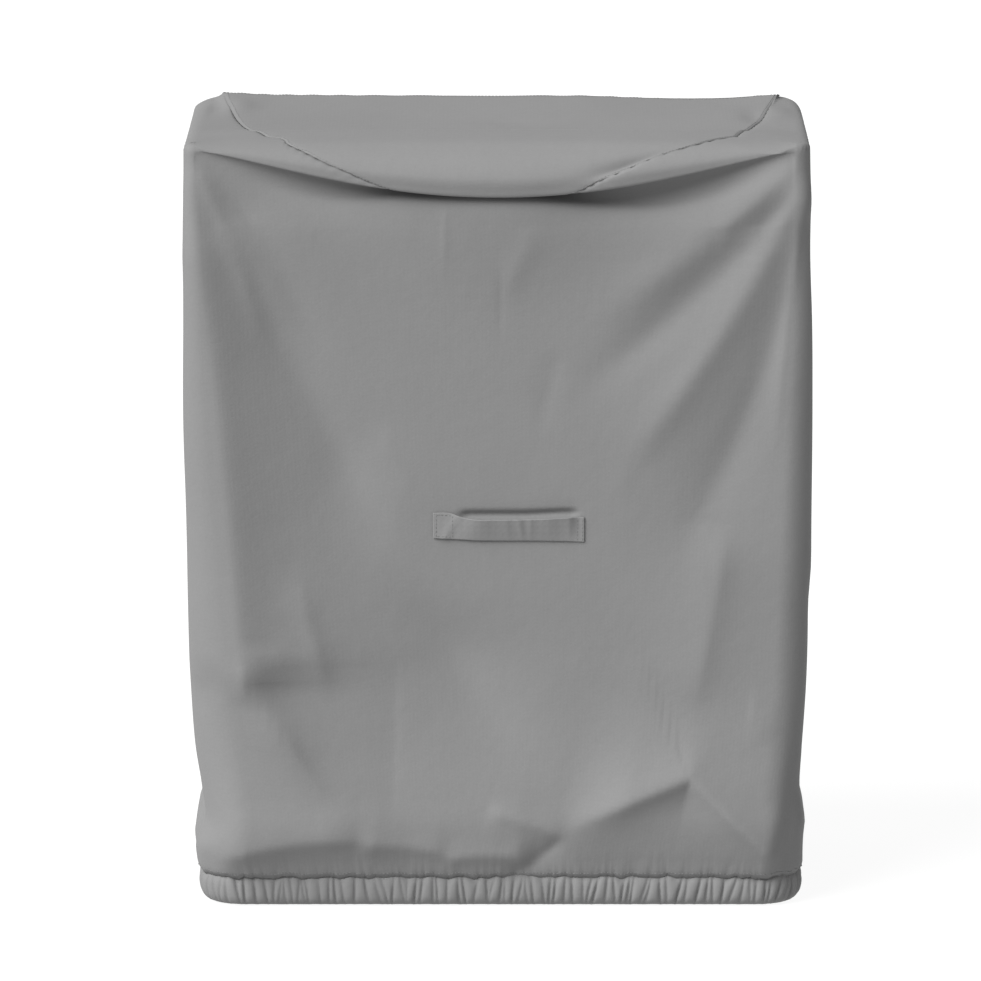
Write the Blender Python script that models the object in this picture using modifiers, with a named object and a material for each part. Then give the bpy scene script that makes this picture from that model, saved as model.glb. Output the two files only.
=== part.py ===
"""Fitted cloth cover for an upright log splitter.

The cover is a hollow bag of coated grey cloth, open at the bottom. The skirt wraps all round
and ends below in a gathered elastic hem. The top panel is sewn in between two slanting seams,
and its slack front falls over the front edge as a roll with a dark tuck under it. A strap
handle is sewn to the front. +X is the cover's right as seen from the front, +Y is its back and
+Z is up. The origin is on the ground under the middle.
"""

import bpy
import numpy as np

COLLECTION_NAME = "log_splitter_cover"

# Cloth, in metres
CLOTH = 0.0010
STRAP = 0.0022
TOP_SEAM_GAP = 0.0009
ROLL_SEAM_GAP = 0.0020
SEAT_GAP = 0.0003
CLOTH_COLOUR = (0.27, 0.27, 0.27, 1.0)
STRAP_COLOUR = (0.26, 0.26, 0.26, 1.0)
CLOTH_ROUGHNESS = 0.82

# Body, in metres
TOP_HEIGHT = 1.143
BACK_RISE = 0.006
TOP_HALF_WIDTH = 0.461
HALF_DEPTH = 0.270

# Columns of cloth on each run of the outline: whole front, sides and back, and each corner
FRONT_MIDDLE_COLUMNS = 14
FRONT_OUTER_COLUMNS = 7
SIDE_COLUMNS = 8
CORNER_COLUMNS = 4
SEAM_ROWS_ON_ROLL = 7
SEAM_ROWS_ON_TOP = 16
UPPER_ROWS = 11
PATH_SAMPLES = 60

# Half sizes of the outline by height: z, left, right, front, back
OUTLINE = np.array([
    (0.000, 0.440, 0.449, 0.262, 0.272),
    (0.050, 0.445, 0.453, 0.266, 0.276),
    (0.088, 0.449, 0.454, 0.274, 0.282),
    (0.126, 0.441, 0.456, 0.273, 0.281),
    (0.171, 0.443, 0.450, 0.270, 0.279),
    (0.231, 0.449, 0.455, 0.268, 0.278),
    (0.306, 0.454, 0.460, 0.268, 0.278),
    (0.457, 0.460, 0.464, 0.268, 0.280),
    (0.607, 0.463, 0.466, 0.269, 0.282),
    (0.758, 0.468, 0.468, 0.270, 0.283),
    (0.908, 0.467, 0.468, 0.270, 0.282),
    (1.100, 0.465, 0.464, 0.270, 0.280),
    (1.150, 0.464, 0.463, 0.270, 0.280),
])

# Radii of the corners in plan by height: z, front left, front right, back
CORNERS = np.array([
    (0.00, 0.085, 0.085, 0.085),
    (0.10, 0.075, 0.060, 0.065),
    (0.25, 0.105, 0.045, 0.055),
    (0.50, 0.095, 0.040, 0.050),
    (0.70, 0.070, 0.038, 0.048),
    (0.90, 0.045, 0.034, 0.045),
    (1.15, 0.028, 0.028, 0.040),
])

# Path of the cloth from the wall to the top, as inset and height, where the edge is plain
# and where the front roll is full: plain inset, plain z, roll inset, roll z
EDGE_PATH = np.array([
    (0.000, 1.020, 0.000, 1.012),
    (0.000, 1.078, 0.001, 1.044),
    (0.000, 1.103, 0.016, 1.055),
    (0.000, 1.116, 0.023, 1.067),
    (0.000, 1.124, 0.002, 1.070),
    (0.000, 1.130, -0.028, 1.066),
    (0.001, 1.136, -0.037, 1.078),
    (0.004, 1.140, -0.031, 1.098),
    (0.010, 1.142, -0.011, 1.121),
    (0.022, 1.143, 0.024, 1.140),
    (0.070, 1.144, 0.074, 1.150),
])
ROLL_EXPONENT = 1.4
DRIFT_STEP = 3.0
ROUND_STEP = 8.5
SHOULDER_STEP = 10
BACK_STEP = 11
BACK_SEAM_INSET = 0.035

# Extra height of the dark tuck under the roll: x, extra drop of the brow
TUCK_DROPS = np.array([
    (-0.46, 0.000),
    (-0.36, 0.006),
    (-0.25, 0.012),
    (-0.12, 0.003),
    (0.05, 0.000),
    (0.16, 0.012),
    (0.26, 0.022),
    (0.36, 0.012),
    (0.46, 0.000),
])

# Top seams: step along the edge path, left x, right x
SEAMS = np.array([
    (4.7, -0.140, 0.095),
    (5.5, -0.170, 0.120),
    (6.4, -0.215, 0.150),
    (7.6, -0.275, 0.215),
    (8.8, -0.312, 0.290),
    (10.0, -0.338, 0.352),
    (10.3, -0.352, 0.376),
    (10.7, -0.380, 0.394),
    (11.0, -0.404, 0.404),
])

# Folds of each wall, as seen from outside with the wall's own level axis: start, middle and
# end of the fold (level, z), reach on its first and second side, height (a trough is < 0)
FRONT_FOLDS = (
    ((-0.455, 1.10), (-0.385, 0.72), (-0.378, 0.34), 0.060, 0.080, 0.020),
    ((-0.440, 1.05), (-0.315, 0.66), (-0.200, 0.42), 0.060, 0.050, -0.014),
    ((-0.425, 1.07), (-0.250, 0.72), (0.040, 0.22), 0.060, 0.130, 0.014),
    ((-0.345, 0.31), (-0.300, 0.24), (-0.245, 0.16), 0.050, 0.050, 0.010),
    ((0.425, 1.10), (0.280, 0.97), (0.120, 0.865), 0.060, 0.035, 0.010),
    ((0.425, 1.05), (0.290, 0.91), (0.090, 0.745), 0.040, 0.040, -0.010),
    ((0.435, 1.04), (0.345, 0.82), (0.140, 0.615), 0.050, 0.060, 0.015),
    ((0.440, 0.98), (0.395, 0.72), (0.220, 0.500), 0.060, 0.060, -0.012),
    ((0.335, 0.56), (0.315, 0.44), (0.285, 0.300), 0.090, 0.035, 0.010),
    ((0.290, 0.197), (0.190, 0.165), (0.095, 0.120), 0.080, 0.026, 0.013),
    ((0.285, 0.195), (0.350, 0.135), (0.415, 0.070), 0.026, 0.060, 0.011),
    ((-0.410, 0.070), (-0.340, 0.108), (-0.200, 0.100), 0.022, 0.060, 0.010),
    ((-0.210, 0.085), (-0.100, 0.080), (0.030, 0.070), 0.018, 0.050, 0.008),
)
SIDE_FOLDS = (
    ((-0.235, 1.08), (-0.150, 0.80), (0.050, 0.480), 0.050, 0.060, -0.012),
    ((0.240, 1.09), (0.180, 0.72), (0.080, 0.340), 0.070, 0.050, -0.014),
    ((0.010, 0.92), (-0.020, 0.66), (-0.070, 0.400), 0.070, 0.070, 0.006),
    ((-0.190, 0.52), (-0.150, 0.36), (-0.170, 0.170), 0.060, 0.060, -0.009),
    ((-0.200, 0.10), (-0.020, 0.12), (0.190, 0.095), 0.024, 0.060, 0.009),
)
BACK_FOLDS = (
    ((-0.420, 1.09), (-0.330, 0.78), (-0.140, 0.400), 0.070, 0.090, 0.015),
    ((-0.400, 1.02), (-0.240, 0.82), (-0.010, 0.640), 0.050, 0.060, -0.010),
    ((0.425, 1.09), (0.340, 0.74), (0.210, 0.330), 0.080, 0.070, 0.016),
    ((0.390, 1.05), (0.220, 0.90), (0.020, 0.790), 0.050, 0.060, 0.010),
    ((0.030, 0.50), (-0.040, 0.33), (-0.020, 0.180), 0.080, 0.080, 0.009),
    ((-0.400, 0.09), (-0.160, 0.13), (0.060, 0.090), 0.024, 0.070, 0.011),
    ((0.080, 0.10), (0.240, 0.14), (0.400, 0.085), 0.024, 0.070, 0.010),
)
FOLD_SAMPLES = 24
FOLD_ROUNDNESS = 0.35
FOLD_FADE = 0.22

# Heights of the wall's rings of points, from just above the hem to the edge path
WALL_RINGS = (0.066, 0.092, 0.122, 0.160, 0.205, 0.275, 0.360, 0.450, 0.540, 0.612, 0.710,
              0.820, 0.930)

# Gathered hem: rings as inset and height, from its upper edge round to its inner edge
HEM_RINGS = ((0.000, 0.044), (0.000, 0.022), (0.013, 0.004), (0.034, 0.000), (0.056, 0.010))
HEM_COLUMNS = 220
HEM_STRENGTHS = (0.6, 1.0, 1.0, 0.7, 0.5)
GATHER_DEPTH = 0.0040

# Handle, in metres
HANDLE_LEFT = -0.095
HANDLE_RIGHT = 0.128
HANDLE_BOTTOM = 0.553
HANDLE_WIDTH = 0.041
HANDLE_LIFT = 0.013
HANDLE_LIFTS = np.array([
    (0.00, 0.00),
    (0.15, 0.00),
    (0.24, 0.30),
    (0.34, 0.78),
    (0.50, 1.00),
    (0.72, 1.00),
    (0.88, 0.62),
    (0.95, 0.00),
    (1.00, 0.00),
])
HANDLE_COLUMNS = 26
HANDLE_ROWS = 3
CALM_RADIUS = 0.145
CALM_REACH = 0.170
CALM_TALLNESS = 1.6


def clear_scene():
    """Remove whatever the open file holds."""
    for obj in list(bpy.data.objects):
        bpy.data.objects.remove(obj, do_unlink=True)


def smooth_step(value):
    """Rise from 0 to 1 with level ends as value goes from 0 to 1."""
    value = np.clip(value, 0.0, 1.0)
    return value * value * (3.0 - 2.0 * value)


def smooth_through(knots, values, at):
    """Cubic through the knots whose slopes come from the neighbours."""
    slopes = np.gradient(values, knots)
    low = np.clip(np.searchsorted(knots, at, side="right") - 1, 0, len(knots) - 2)
    span = knots[low + 1] - knots[low]
    part = np.clip((at - knots[low]) / span, 0.0, 1.0)
    rest = 1.0 - part
    return (values[low] * rest * rest * (1.0 + 2.0 * part)
            + slopes[low] * span * part * rest * rest
            + values[low + 1] * part * part * (3.0 - 2.0 * part)
            - slopes[low + 1] * span * part * part * rest)


def fold_height(folds, level, height):
    """Sum of soft creases, each a quadratic curve with its own reach on either side."""
    total = np.zeros_like(level)
    steps = np.linspace(0.0, 1.0, FOLD_SAMPLES)
    for start, middle, end, first_reach, second_reach, rise in folds:
        rest = 1.0 - steps
        along = [rest * rest * a + 2.0 * rest * steps * b + steps * steps * c
                 for a, b, c in zip(start, middle, end)]
        tangent = [np.gradient(values) for values in along]
        off_x = level[..., None] - along[0]
        off_z = height[..., None] - along[1]
        nearest = np.argmin(off_x ** 2 + off_z ** 2, axis=-1)
        off_x = np.take_along_axis(off_x, nearest[..., None], axis=-1)[..., 0]
        off_z = np.take_along_axis(off_z, nearest[..., None], axis=-1)[..., 0]
        distance = np.hypot(off_x, off_z)
        side = tangent[0][nearest] * off_z - tangent[1][nearest] * off_x
        reach = np.where(side < 0.0, first_reach, second_reach)
        slope = np.sqrt((distance / reach) ** 2 + FOLD_ROUNDNESS ** 2) - FOLD_ROUNDNESS
        place = steps[nearest]
        fade = smooth_step(place / FOLD_FADE + 0.35) * smooth_step((1.0 - place) / FOLD_FADE + 0.35)
        total += rise * np.exp(-1.6 * slope) * fade
    return total


def calm_round_handle(level, height):
    """Fade the folds out under the strap, so that both its ends lie on level cloth."""
    middle_x = 0.5 * (HANDLE_LEFT + HANDLE_RIGHT)
    middle_z = HANDLE_BOTTOM + 0.5 * HANDLE_WIDTH
    away = np.hypot(level - middle_x, (height - middle_z) * CALM_TALLNESS)
    return smooth_step((away - CALM_RADIUS) / CALM_REACH)


def outline_point(station, height):
    """Point and outward direction on the outline at a height.

    Stations 0, 2, 4 and 6 start the front, right, back and left runs, and 1, 3, 5 and 7 start
    the corners between them.
    """
    knots = OUTLINE[:, 0]
    left, right, front, back = (smooth_through(knots, OUTLINE[:, k], height) for k in range(1, 5))
    knots = CORNERS[:, 0]
    front_left, front_right, back_radius = (
        smooth_through(knots, CORNERS[:, k], height) for k in range(1, 4))
    centres = (
        (right - front_right, front_right - front, front_right),
        (right - back_radius, back - back_radius, back_radius),
        (back_radius - left, back - back_radius, back_radius),
        (front_left - left, front_left - front, front_left),
    )
    run = np.floor(station).astype(int) % 8
    part = station - np.floor(station)
    x, y = np.zeros_like(height), np.zeros_like(height)
    out_x, out_y = np.zeros_like(height), np.zeros_like(height)
    for side in range(4):
        centre_x, centre_y, radius = centres[side]
        before_x, before_y, before_radius = centres[side - 1]
        corner = run == 2 * side + 1
        turn = np.radians(90.0) * (side - 1 + part)
        x = np.where(corner, centre_x + radius * np.cos(turn), x)
        y = np.where(corner, centre_y + radius * np.sin(turn), y)
        out_x = np.where(corner, np.cos(turn), out_x)
        out_y = np.where(corner, np.sin(turn), out_y)
        straight = run == 2 * side
        face = np.radians(90.0) * (side - 1)
        start_x = before_x + before_radius * np.cos(face)
        start_y = before_y + before_radius * np.sin(face)
        end_x = centre_x + radius * np.cos(face)
        end_y = centre_y + radius * np.sin(face)
        x = np.where(straight, start_x + (end_x - start_x) * part, x)
        y = np.where(straight, start_y + (end_y - start_y) * part, y)
        out_x = np.where(straight, np.cos(face), out_x)
        out_y = np.where(straight, np.sin(face), out_y)
    return x, y, out_x, out_y


def wall_folds(x, y, out_x, out_y, height):
    """Outward height of the folds, each wall fading into the next round the corners."""
    facing_front = smooth_step(-out_y)
    facing_back = smooth_step(out_y)
    facing_side = smooth_step(np.abs(out_x))
    front = fold_height(FRONT_FOLDS, x, height) * calm_round_handle(x, height)
    back = fold_height(BACK_FOLDS, x, height)
    side = fold_height(SIDE_FOLDS, y * np.sign(out_x), height)
    return front * facing_front + back * facing_back + side * facing_side


def top_height(x, y):
    """Height of the top: a soft ridge behind the front roll, a slack middle, two back peaks."""
    across = 1.0 - np.clip(np.abs(x) / TOP_HALF_WIDTH, 0.0, 1.0) ** 2
    along = 1.0 - np.clip(np.abs(y) / HALF_DEPTH, 0.0, 1.0) ** 2
    ridge = 0.009 * across * np.exp(-((y + 0.175) / 0.060) ** 2)
    slack = 0.011 * across * along
    left_peak = 0.008 * np.exp(-((x + 0.400) / 0.045) ** 2 - ((y - 0.235) / 0.050) ** 2)
    right_peak = 0.005 * np.exp(-((x - 0.400) / 0.060) ** 2 - ((y - 0.215) / 0.060) ** 2)
    rise = BACK_RISE * (y + HALF_DEPTH) / (2.0 * HALF_DEPTH)
    return TOP_HEIGHT + rise + ridge - slack + left_peak + right_peak


def roll_amount(x):
    """How full the front roll is: 0 at the corners and 1 in the middle."""
    return np.clip(1.0 - (x / TOP_HALF_WIDTH) ** 2, 0.0, 1.0) ** ROLL_EXPONENT


def on_top_share(step):
    """How far the height at a step follows the top instead of the edge path."""
    return smooth_step((step - ROUND_STEP) / (SHOULDER_STEP - ROUND_STEP))


def edge_path(step, roll, x):
    """Inset and height of the cloth at a step of the edge path."""
    steps = np.arange(len(EDGE_PATH), dtype=float)
    plain_inset, plain_z, roll_inset, roll_z = (
        smooth_through(steps, EDGE_PATH[:, k], step) for k in range(4))
    inset = plain_inset + roll * (roll_inset - plain_inset)
    height = plain_z + roll * (roll_z - plain_z)
    tuck = smooth_through(TUCK_DROPS[:, 0], TUCK_DROPS[:, 1], x)
    in_tuck = smooth_step(1.0 - np.abs(step - 1.6) / 1.8) * smooth_step(roll / 0.4)
    return inset + 0.5 * tuck * in_tuck, height - tuck * in_tuck


def top_point(x, step):
    """Point of the roll or the top at a front-to-back step, for cloth that starts at x."""
    inset, height = edge_path(np.minimum(step, SHOULDER_STEP), roll_amount(x), x)
    front_y = inset - HALF_DEPTH
    back_y = HALF_DEPTH - BACK_SEAM_INSET
    y = front_y + (back_y - front_y) * np.clip(step - SHOULDER_STEP, 0.0, 1.0)
    height = height + (top_height(x, y) - height) * on_top_share(step)
    return np.stack([x, y, height], axis=-1)


def seam_steps():
    """Steps of the rows of points along each slanting seam, from the front to the back."""
    front = SEAMS[0, 0]
    on_roll = np.linspace(front, SHOULDER_STEP, SEAM_ROWS_ON_ROLL + 1)
    on_top = np.linspace(SHOULDER_STEP, BACK_STEP, SEAM_ROWS_ON_TOP + 1)
    return np.concatenate([on_roll, on_top[1:]])


def panel_grid():
    """Points of the top panel, in rows from its front seam to its back seam."""
    steps = seam_steps()
    left = smooth_through(SEAMS[:, 0], SEAMS[:, 1], steps)
    right = smooth_through(SEAMS[:, 0], SEAMS[:, 2], steps)
    across = np.linspace(0.0, 1.0, FRONT_MIDDLE_COLUMNS + 1)
    x = left[:, None] + (right - left)[:, None] * across
    return top_point(x, np.broadcast_to(steps[:, None], x.shape))


def skirt_stations():
    """Stations of the skirt's columns, in order from the middle of the front leftwards."""
    front_count = FRONT_MIDDLE_COLUMNS + 2 * FRONT_OUTER_COLUMNS
    counts = (front_count, CORNER_COLUMNS, SIDE_COLUMNS, CORNER_COLUMNS,
              FRONT_MIDDLE_COLUMNS, CORNER_COLUMNS, SIDE_COLUMNS, CORNER_COLUMNS)
    runs = [run + np.arange(count) / count for run, count in enumerate(counts)]
    stations = np.concatenate(runs)
    return np.roll(stations, -FRONT_OUTER_COLUMNS)


def seam_ring(grid):
    """The panel's border points in the order of the skirt's columns."""
    front = grid[0, :-1]
    right = grid[:-1, -1]
    back = grid[-1, :0:-1]
    left = grid[:0:-1, 0]
    return np.concatenate([front, right, back, left])


def seam_ring_steps():
    """Step of the edge path at which each column of the skirt meets its seam."""
    steps = seam_steps()
    front = np.full(FRONT_MIDDLE_COLUMNS, steps[0])
    back = np.full(FRONT_MIDDLE_COLUMNS, steps[-1])
    return np.concatenate([front, steps[:-1], back, steps[:0:-1]])


def upper_path(stations, seam_points, meeting_steps):
    """Paths from the wall over the edge to the seam, evenly spaced along each path."""
    on_front = stations < 1.0
    last = np.where(on_front, np.minimum(meeting_steps, SHOULDER_STEP), ROUND_STEP)[:, None]
    part = np.linspace(0.0, 1.0, PATH_SAMPLES)
    step = last * part
    station = np.broadcast_to(stations[:, None], step.shape)
    front_only = np.broadcast_to(on_front[:, None], step.shape).astype(float)
    start_x, _, _, _ = outline_point(station, np.full_like(step, TOP_HEIGHT))
    drift = smooth_step((step - DRIFT_STEP) / np.maximum(last - DRIFT_STEP, 1.0)) * front_only
    start_x = start_x + (seam_points[:, :1] - start_x) * drift
    inset, height = edge_path(step, roll_amount(start_x) * front_only, start_x)
    x, y, out_x, out_y = outline_point(station, np.minimum(height, TOP_HEIGHT))
    lift = wall_folds(x, y, out_x, out_y, height) * smooth_step(1.0 - step / DRIFT_STEP)
    x = x + out_x * (lift - inset)
    x = x + (seam_points[:, :1] - x) * drift
    y = y + out_y * (lift - inset)
    height = height + (top_height(x, y) - height) * on_top_share(step)
    edge = np.stack([x, y, height], axis=-1)
    corner = edge[:, -1:, :]
    across = corner + (seam_points[:, None, :] - corner) * part[1:, None]
    surface = top_height(across[..., 0], across[..., 1])
    step_up = corner[..., 2] - top_height(corner[..., 0], corner[..., 1])
    past_edge = ~on_front[:, None] | (meeting_steps > SHOULDER_STEP)[:, None]
    across[..., 2] = np.where(past_edge, surface + (1.0 - part[1:]) * step_up, across[..., 2])
    path = np.concatenate([edge, across], axis=1)
    return evenly_spaced(path, UPPER_ROWS)


def evenly_spaced(paths, count):
    """Points at even distances along each path, as one row of points for each distance."""
    lengths = np.linalg.norm(np.diff(paths, axis=1), axis=-1)
    columns = []
    for length, points in zip(lengths, paths):
        travelled = np.concatenate([[0.0], np.cumsum(length)])
        marks = np.linspace(0.0, travelled[-1], count + 1)
        columns.append([np.interp(marks, travelled, points[:, k]) for k in range(3)])
    return np.moveaxis(np.array(columns), (0, 1, 2), (1, 2, 0))


def wall_rings(stations):
    """Rings of the wall from just above the hem to the start of the edge path."""
    height, station = np.meshgrid(WALL_RINGS, stations, indexing="ij")
    x, y, out_x, out_y = outline_point(station, height)
    lift = wall_folds(x, y, out_x, out_y, height)
    return np.stack([x + out_x * lift, y + out_y * lift, height], axis=-1)


def even_stations(stations, count):
    """Stations spaced evenly round the hem, and the wall columns' places on the same scale."""
    ends = np.append(stations, stations[0] + 8.0)
    unrolled = np.unwrap(ends, period=8.0)
    fine = np.linspace(unrolled[0], unrolled[-1], 1600)
    x, y, _, _ = outline_point(fine % 8.0, np.full_like(fine, HEM_RINGS[0][1]))
    travelled = np.concatenate([[0.0], np.cumsum(np.hypot(np.diff(x), np.diff(y)))])
    marks = np.arange(count) * travelled[-1] / count
    return np.interp(marks, travelled, fine) % 8.0, marks, np.interp(unrolled[:-1], fine, travelled)


def hem_rings(stations):
    """Rings of the gathered hem, whose points stand out and in by turns."""
    insets, heights = np.array(HEM_RINGS).T
    station = np.broadcast_to(stations, (len(HEM_RINGS), len(stations)))
    height = np.broadcast_to(heights[:, None], station.shape)
    x, y, out_x, out_y = outline_point(station, height.astype(float))
    count = np.arange(len(stations))
    uneven = 0.70 + 0.30 * np.sin(count * 0.37) * np.sin(count * 0.11 + 1.0)
    gather = GATHER_DEPTH * uneven * np.where(count % 2 == 0, 0.5, -0.5)
    strength = np.array(HEM_STRENGTHS)[:, None]
    lift = gather * strength - insets[:, None]
    floor = np.where(heights[:, None] > 0.0, 0.25 * gather, 0.0)
    return np.stack([x + out_x * lift, y + out_y * lift, height + floor], axis=-1)


def grid_faces(first, rows, columns, closed):
    """Quads of a grid of points stored row by row, closed round or open."""
    faces = []
    last = columns if closed else columns - 1
    for row in range(rows - 1):
        for column in range(last):
            following = (column + 1) % columns
            low = first + row * columns
            high = low + columns
            faces.append((low + column, low + following, high + following, high + column))
    return faces


def zip_rings(low_first, low_marks, high_first, high_marks, around):
    """Triangles that join two closed rings whose points differ in number."""
    faces = []
    low_count, high_count = len(low_marks), len(high_marks)
    low_all = np.append(low_marks, around)
    high_all = np.append(high_marks, around)
    low, high = 0, 0
    while low < low_count or high < high_count:
        low_now = low_first + low % low_count
        high_now = high_first + high % high_count
        take_low = high == high_count or (low < low_count and low_all[low + 1] <= high_all[high + 1])
        if take_low:
            faces.append((low_now, low_first + (low + 1) % low_count, high_now))
            low += 1
        else:
            faces.append((low_now, high_first + (high + 1) % high_count, high_now))
            high += 1
    return faces


def cloth_material(name, colour, roughness):
    """Plain matt cloth."""
    material = bpy.data.materials.new(name)
    material.use_nodes = True
    shader = material.node_tree.nodes["Principled BSDF"]
    shader.inputs["Base Color"].default_value = colour
    shader.inputs["Roughness"].default_value = roughness
    shader.inputs["Metallic"].default_value = 0.0
    return material


def add_sheet(name, points, faces, thickness, material, collection):
    """Open surface given its thickness inwards by Solidify."""
    mesh = bpy.data.meshes.new(name)
    mesh.from_pydata(points.reshape(-1, 3).tolist(), [], faces)
    mesh.materials.append(material)
    mesh.shade_smooth()
    sheet = bpy.data.objects.new(name, mesh)
    collection.objects.link(sheet)
    solidify = sheet.modifiers.new("thickness", "SOLIDIFY")
    solidify.thickness = thickness
    solidify.offset = -1.0
    solidify.use_even_offset = False
    return sheet


def seam_gap(steps):
    """Gap along a seam, wider on the roll, where the two sheets meet at an angle."""
    on_top = smooth_step(steps - ROUND_STEP)
    return (ROLL_SEAM_GAP + (TOP_SEAM_GAP - ROLL_SEAM_GAP) * on_top)[:, None]


def drawn_back(edge, inner, gap):
    """Move an edge row back from the seam by half the seam's gap."""
    along = inner - edge
    return edge + along / np.linalg.norm(along, axis=-1, keepdims=True) * 0.5 * gap


def add_skirt(collection, material, grid):
    """Wrap-around body from the hem to the seams of the top panel."""
    stations = skirt_stations()
    upper = upper_path(stations, seam_ring(grid), seam_ring_steps())
    upper[-1] = drawn_back(upper[-1], upper[-2], seam_gap(seam_ring_steps()))
    wall = np.concatenate([wall_rings(stations), upper])
    hem_stations, hem_marks, wall_marks = even_stations(stations, HEM_COLUMNS)
    hem = hem_rings(hem_stations)[::-1]
    points = np.concatenate([hem.reshape(-1, 3), wall.reshape(-1, 3)])
    wall_first = hem.shape[0] * HEM_COLUMNS
    hem_last = wall_first - HEM_COLUMNS
    x, y, _, _ = outline_point(np.linspace(0.0, 7.9999, 1600), np.full(1600, HEM_RINGS[0][1]))
    around = np.hypot(np.diff(x), np.diff(y)).sum()
    faces = grid_faces(0, hem.shape[0], HEM_COLUMNS, True)
    faces += zip_rings(hem_last, hem_marks, wall_first, wall_marks, around)
    faces += grid_faces(wall_first, wall.shape[0], len(stations), True)
    return add_sheet("skirt", points, faces, CLOTH, material, collection)


def add_top_panel(collection, material, grid):
    """Panel between the two slanting seams, with its slack front roll."""
    points = grid.copy()
    gap = seam_gap(seam_steps())
    points[0] = drawn_back(grid[0], grid[1], gap[0])
    points[-1] = drawn_back(grid[-1], grid[-2], gap[-1])
    points[:, 0] = drawn_back(points[:, 0], points[:, 1], gap)
    points[:, -1] = drawn_back(points[:, -1], points[:, -2], gap)
    faces = grid_faces(0, points.shape[0], points.shape[1], False)
    return add_sheet("top_panel", points, faces, CLOTH, material, collection)


def add_handle(collection, material):
    """Strap sewn down at both ends and standing off the cloth between them."""
    place = np.linspace(0.0, 1.0, HANDLE_COLUMNS + 1)
    rise = np.linspace(0.0, 1.0, HANDLE_ROWS + 1)
    x = HANDLE_LEFT + (HANDLE_RIGHT - HANDLE_LEFT) * place
    z = HANDLE_BOTTOM + HANDLE_WIDTH * rise
    height, level = np.meshgrid(z, x, indexing="ij")
    front = -smooth_through(OUTLINE[:, 0], OUTLINE[:, 3], height)
    lift = HANDLE_LIFT * smooth_through(HANDLE_LIFTS[:, 0], HANDLE_LIFTS[:, 1], place)
    y = front - SEAT_GAP - STRAP - np.maximum(lift, 0.0)
    points = np.stack([level, y, height], axis=-1)
    faces = grid_faces(0, points.shape[0], points.shape[1], False)
    return add_sheet("handle", points, faces, STRAP, material, collection)


def build_cover():
    """Build the three sewn pieces of the cover."""
    clear_scene()
    collection = bpy.data.collections.new(COLLECTION_NAME)
    bpy.context.scene.collection.children.link(collection)
    grid = panel_grid()
    add_skirt(collection, cloth_material("cover_cloth", CLOTH_COLOUR, CLOTH_ROUGHNESS), grid)
    add_top_panel(collection, cloth_material("top_cloth", CLOTH_COLOUR, CLOTH_ROUGHNESS), grid)
    add_handle(collection, cloth_material("strap_cloth", STRAP_COLOUR, CLOTH_ROUGHNESS))


build_cover()
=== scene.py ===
"""Looks of the fitted log splitter cover: draped grey cloth, gathered hem, top roll and handle."""

import logging
import math
from dataclasses import dataclass, field
from enum import Enum

import bpy
import numpy as np
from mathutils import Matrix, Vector


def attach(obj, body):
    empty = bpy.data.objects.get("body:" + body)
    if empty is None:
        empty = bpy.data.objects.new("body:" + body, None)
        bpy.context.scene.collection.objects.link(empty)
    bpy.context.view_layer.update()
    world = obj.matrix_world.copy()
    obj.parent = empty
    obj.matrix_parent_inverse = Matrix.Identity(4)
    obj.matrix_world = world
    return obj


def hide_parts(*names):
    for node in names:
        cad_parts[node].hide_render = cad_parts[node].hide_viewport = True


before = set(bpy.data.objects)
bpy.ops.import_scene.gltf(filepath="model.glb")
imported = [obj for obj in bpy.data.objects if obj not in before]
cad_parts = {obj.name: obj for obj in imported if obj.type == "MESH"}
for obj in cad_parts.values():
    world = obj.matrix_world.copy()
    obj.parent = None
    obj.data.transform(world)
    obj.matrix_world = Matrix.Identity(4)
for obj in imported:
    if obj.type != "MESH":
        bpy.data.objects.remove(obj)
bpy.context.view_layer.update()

Array = np.ndarray
Point = tuple[float, float]
Rows = tuple[tuple[float, ...], ...]

BODY = "root"
FOLD_SEGMENTS = 12
HEM_LINE_POINTS = 1500
LAST_STATION = 7.999
THREAD_PROUD = 0.0002
# Radians that a Wave texture turns over one unit of its scaled map
WAVE_RATE = 20.0
LOG = logging.getLogger("cover")


def smooth_step(value: Array) -> Array:
    """Rise from 0 to 1 with level ends as value goes from 0 to 1."""
    value = np.clip(value, 0.0, 1.0)
    return value * value * (3.0 - 2.0 * value)


def bump(value: Array, reach: float) -> Array:
    """Bell of height 1 at value 0 that falls off over reach."""
    return np.exp(-((value / reach) ** 2))


@dataclass(frozen=True)
class SmoothTable:
    """A size that varies smoothly between the places where it is known."""

    places: tuple[float, ...]
    values: tuple[float, ...]

    def at(self, place: Array) -> Array:
        """Cubic through the known values whose slopes come from the neighbours.

        Args:
            place: where the size is wanted.

        Returns:
            The size there, level beyond both ends.
        """
        knots = np.array(self.places)
        values = np.array(self.values)
        slopes = np.gradient(values, knots)
        low = np.clip(np.searchsorted(knots, place, side="right") - 1, 0, len(knots) - 2)
        span = knots[low + 1] - knots[low]
        part = np.clip((place - knots[low]) / span, 0.0, 1.0)
        rest = 1.0 - part
        return (values[low] * rest * rest * (1.0 + 2.0 * part)
                + slopes[low] * span * part * rest * rest
                + values[low + 1] * part * part * (3.0 - 2.0 * part)
                - slopes[low + 1] * span * part * part * rest)


def tables(rows: Rows) -> list[SmoothTable]:
    """One smooth table for each column of rows after the first, which holds the places."""
    columns = list(zip(*rows))
    return [SmoothTable(columns[0], column) for column in columns[1:]]


class Wall(Enum):
    """The walls of the skirt, by the way they face."""

    FRONT = "front"
    SIDE = "side"
    BACK = "back"


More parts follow.
